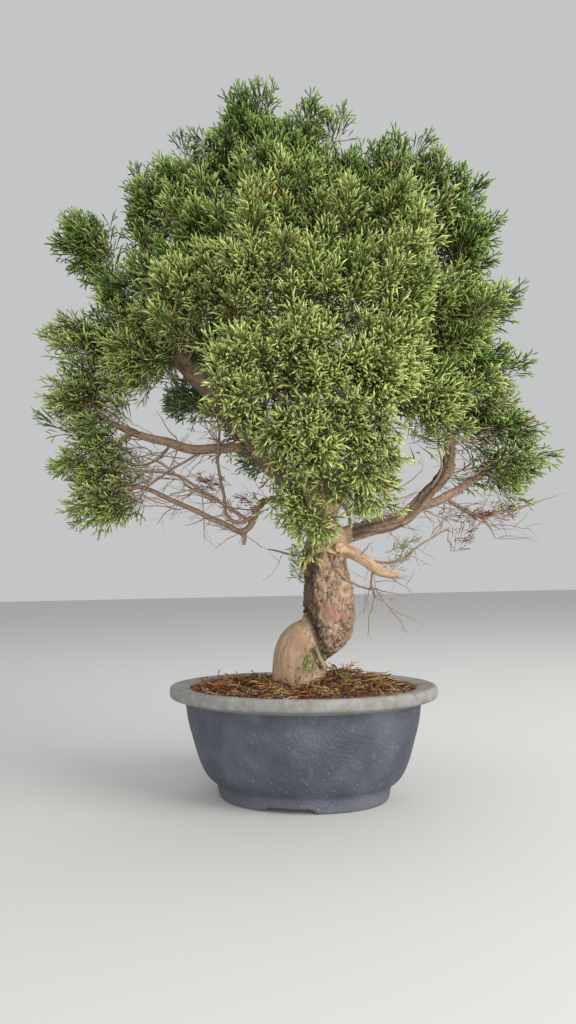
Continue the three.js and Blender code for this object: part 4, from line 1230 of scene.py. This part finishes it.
def sticks_piece(name, starts, ends, shapes, draw):
    """Sticks between pairs of points, with bark."""
    way = unit(ends - starts)
    size = np.linalg.norm(ends - starts, axis=1)
    across = unit(np.cross(way, draw.standard_normal(way.shape)))
    points, faces, along, owner = place_copies(shapes, starts, way, across, size, draw)
    grain_places = np.stack([3.0 * owner, 0 * along, along * size[owner]], axis=1)
    plain = np.zeros_like(points)
    # painted shade: the sticks are darkened evenly, as in the shade of the crown
    painted_shade_level = plain + [0, 0, 0.45]
    return mesh_piece(name, points, [faces], bark, "bark", (), grain=grain_places, masks=plain, more_masks=painted_shade_level)


sticks = [make_stick(3, STICK_THICK, 0.03) for row in range(STICK_KINDS)]
draw = np.random.default_rng(71)
starts = np.concatenate([line[0] for line in twig_lines] + [line[1] for line in twig_lines])
ends = np.concatenate([line[1] for line in twig_lines] + [line[2] for line in twig_lines])
sticks_piece("inner_twigs_fine", starts, ends, sticks, draw)

# %% [markdown]
# ## Bare twigs, dead shoots and sprigs
#
# Where light no longer reaches, fine twigs have lost their leaves and cross each other in a grey net. They
# start at random places along the low branches, and each bears two shorter ones. A few dead rust-brown
# shoots still hang in the net, and single green sprigs sprout from old wood.

# %% Bare net and sprigs
NET_TWIGS = 260
TUFT_SCALE = 0.5  # of the size of the living fans
NET_HEART = np.array([20, 0, 250.0])
SPRIGS = np.array([[6.8, -34, 109], [-11.5, -30, 207], [104.5, -12, 227], [24, -36, 236], [4, -30, 226]])
DEAD_SHOOTS = np.array(
    [[178, -10, 246], [196, -8, 249], [163, -12, 240], [-58, -26, 262], [-92, -30, 276], [82, -12, 262]]
)

low_lines = np.concatenate([along_curve(row, 4.0)[0] for row in BRANCHES + TWIGS + list(LIMBS.values())])
far_from_trunk = np.hypot(*(low_lines - NET_HEART)[:, :2].T) > 34
low_lines = low_lines[(low_lines[:, 2] < NET_TOP) & far_from_trunk]
draw = np.random.default_rng(91)
net_starts = low_lines[draw.integers(len(low_lines), size=NET_TWIGS)]
net_ways = unit(unit((net_starts - NET_HEART) * [1, 1, 0.3]) + 0.75 * draw.standard_normal((NET_TWIGS, 3)))
net_ends = net_starts + draw.uniform(16, 52, (NET_TWIGS, 1)) * net_ways
fork = draw.uniform(0.3, 0.9, (2 * NET_TWIGS, 1))
fork_starts = np.tile(net_starts, (2, 1)) + fork * np.tile(net_ends - net_starts, (2, 1))
fork_ways = unit(np.tile(net_ways, (2, 1)) + 0.7 * draw.standard_normal((2 * NET_TWIGS, 3)))
fork_ends = fork_starts + draw.uniform(7, 24, (2 * NET_TWIGS, 1)) * fork_ways
net_sticks = [make_stick(5, 0.014, 0.035) for row in range(STICK_KINDS)]
starts = np.concatenate([net_starts, fork_starts])
ends = np.concatenate([net_ends, fork_ends])
sticks_piece("bare_net_fine", starts, ends, net_sticks, draw)


def tufts_piece(name, places, away_from, pale, dead, draw):
    """Three fans at each place; dead ones take the random number that the material turns to rust."""
    tips = np.repeat(places, 3, axis=0) + draw.normal(0, 3, (3 * len(places), 3))
    grow = unit(tips - away_from)
    root, way, inward, size, *_ = grow_fans(tips, np.asarray(away_from), grow, draw)
    points, faces, along, owner = place_copies(shoots, root, way, inward, TUFT_SCALE * size, draw)
    chance = np.ones(len(root)) if dead else draw.uniform(0, 0.9, len(root))
    leaf = np.stack([along, np.full(len(along), pale), chance[owner]], axis=1)
    mesh_piece(name, points, [faces], foliage, "foliage", (), leaf=leaf)


tufts_piece("sprigs_fine", SPRIGS, [20, 10, 190], 0.7, False, draw)
tufts_piece("dead_shoots_fine", DEAD_SHOOTS, [20, 10, 240], 0.0, True, draw)

# %% [markdown]
# A pale strip of dead wood crosses the trunk under the crown. What it was can't be seen. It has the colour
# of the stripped branch beside it.

# %% Strip of dead wood
STRIP = [
    [33, -23, 212, 1.6], [22, -25, 216, 2.1], [11, -21.5, 210, 1.9], [4, -13, 198, 1.5], [1, -6, 190, 1.0],
]
points, faces, straight = tube(wobbled(STRIP, 0.6, 640), 8, 1.5)
plain = np.zeros_like(points)
dead = plain + [1, 0, 0]
mesh_piece("strip_fine", points, faces, bark, "bark", (), grain=straight, masks=plain, more_masks=dead)

# %% [markdown]
# ## Litter on the soil
#
# Dead shoots have fallen on the soil and dried to orange and brown straw, strewn evenly here. They lie
# almost flat, a little tilted where they rest on each other. Among them are pebbles, crumbs of pale pumice
# and green cushions of moss, all set on the same height function as the soil's top.


# %% Litter material
def make_litter():
    """Dry shoots and grit: each piece takes one tone from its random number, finely mottled."""
    material, tree, shader = new_material("litter_dry")
    leaf = add(tree, "Attribute", attribute_name="leaf").outputs["Vector"]
    _, kind, chance = add(tree, "SeparateXYZ", {0: leaf}).outputs
    dark_straw = (0.0, "#3a2417"), (0.25, "#74401f"), (0.5, "#a9622f")
    pale_straw = (0.7, "#bd8a55"), (0.85, "#8b8242"), (1.0, "#cdb07f")
    straw = ramp(tree, chance, *dark_straw, *pale_straw)
    stone = ramp(tree, chance, (0.0, "#4a4038"), (0.4, "#7b7063"), (0.8, "#a3998a"), (1.0, "#c4bdb0"))
    moss = ramp(tree, chance, (0.0, "#3c4a1c"), (0.6, "#62752b"), (1.0, "#8a9a44"))
    stony = ramp(tree, kind, (0.2, 0.0), (0.3, 1.0))
    mossy = ramp(tree, kind, (0.7, 0.0), (0.8, 1.0))
    green = blend(tree, mossy, blend(tree, stony, straw, stone), moss)
    place = add(tree, "TexCoord").outputs["Object"]
    mottle = cloudy(tree, place, 900, 3)
    limits = {"From Min": 0.3, "From Max": 0.7, "To Min": 0.7, "To Max": 1.15}
    darker = add(tree, "MapRange", {"Value": mottle, **limits}).outputs[0]
    final = add(tree, "HueSaturation", {"Value": darker, "Color": green}).outputs[0]
    tree.links.new(final, shader.inputs["Base Color"])
    shader.inputs["Roughness"].default_value = 0.85
    return material


litter = make_litter()


def on_soil(count, draw, nearest=0.0, furthest=0.97):
    """Random places on the soil's top, in the pot's own axes, even over its area."""
    reach = np.sqrt(draw.uniform(nearest**2, furthest**2, count)) * SOIL_RADIUS
    turn = draw.uniform(0, 2 * np.pi, count)
    places = np.stack([reach * np.cos(turn), reach * np.sin(turn) * POT_RATIO, np.zeros(count)], axis=1)
    places[:, 2] = soil_height(places)
    return places


def litter_piece(name, shapes, places, lean, size, kind, draw):
    """Copies lying or standing on the soil: way = (cos turn cos lean, sin turn cos lean, sin lean)."""
    turn = draw.uniform(0, 2 * np.pi, len(places))
    way = np.stack([np.cos(turn) * np.cos(lean), np.sin(turn) * np.cos(lean), np.sin(lean)], axis=1)
    across = unit(np.cross(way, draw.standard_normal(way.shape)))
    points, faces, along, owner = place_copies(shapes, places, way, across, size, draw)
    leaf = np.stack([along, np.full(len(along), kind), draw.random(len(places))[owner]], axis=1)
    return mesh_piece(name, turn_to_pot(points), [faces], litter, "soil", (), leaf=leaf)


def make_pebble():
    """A lump: the twelve corners of an icosahedron, each moved in or out a little, flattened."""
    golden = (1 + np.sqrt(5)) / 2
    signs = np.array([[1, 1], [1, -1], [-1, 1], [-1, -1]]) * [1, golden]
    flat = np.column_stack([np.zeros(4), signs])
    points = unit(np.concatenate([flat, flat[:, [1, 2, 0]], flat[:, [2, 0, 1]]]))
    sides = np.linalg.norm(points[:, None] - points[None], axis=2) < 1.1
    faces = [
        (i, j, k)
        for i in range(12)
        for j in range(i + 1, 12)
        for k in range(j + 1, 12)
        if sides[i, j] and sides[j, k] and sides[i, k]
    ]
    faces = np.array(faces)
    a, b, c = points[faces].transpose(1, 0, 2)
    inside_out = np.einsum("ij,ij->i", a, np.cross(b - a, c - a)) < 0
    faces[inside_out] = faces[inside_out][:, ::-1]
    points = points * random.uniform(0.75, 1.1, (12, 1)) * [0.5, 0.4, 0.5]
    return points, faces, points[:, 2]


# %% Strew the litter
STRAW_KINDS, PEBBLE_KINDS = 6, 5
STRAWS, FALLEN, GRAINS = 950, 260, 700
CUSHIONS, CUSHION_TUFTS = 16, 60
TUFTS = CUSHIONS * CUSHION_TUFTS

straws = [make_stick(4, 0.034, 0.07) for row in range(STRAW_KINDS)]
pebbles = [make_pebble() for row in range(PEBBLE_KINDS)]
draw = np.random.default_rng(81)
lying = on_soil(STRAWS, draw, 0.15) + [0, 0, 0.7]
lean, size = draw.normal(0.04, 0.12, STRAWS), draw.uniform(9, 27, STRAWS)
litter_piece("litter_straw", straws, lying, lean, size, 0.0, draw)
fallen = on_soil(FALLEN, draw, 0.2, 0.92) + [0, 0, 0.9]
lean, size = draw.normal(0.05, 0.12, FALLEN), draw.uniform(12, 22, FALLEN)
litter_piece("litter_shoots", shoots, fallen, lean, size, 0.0, draw)
grit = on_soil(GRAINS, draw, 0, 0.98)
lean, size = draw.uniform(-1, 1, GRAINS), draw.uniform(1.2, 3.6, GRAINS)
litter_piece("litter_grit", pebbles, grit, lean, size, 0.5, draw)
cushions = on_soil(CUSHIONS, draw, 0.3, 0.9)
moss = np.repeat(cushions, CUSHION_TUFTS, axis=0) + draw.normal(0, 1, (TUFTS, 3)) * [5, 4, 0]
moss[:, 2] = soil_height(moss) - 0.4
lean, size = draw.normal(1.4, 0.2, TUFTS), draw.uniform(1.5, 4, TUFTS)
litter_piece("moss_tufts", straws, moss, lean, size, 1.0, draw)
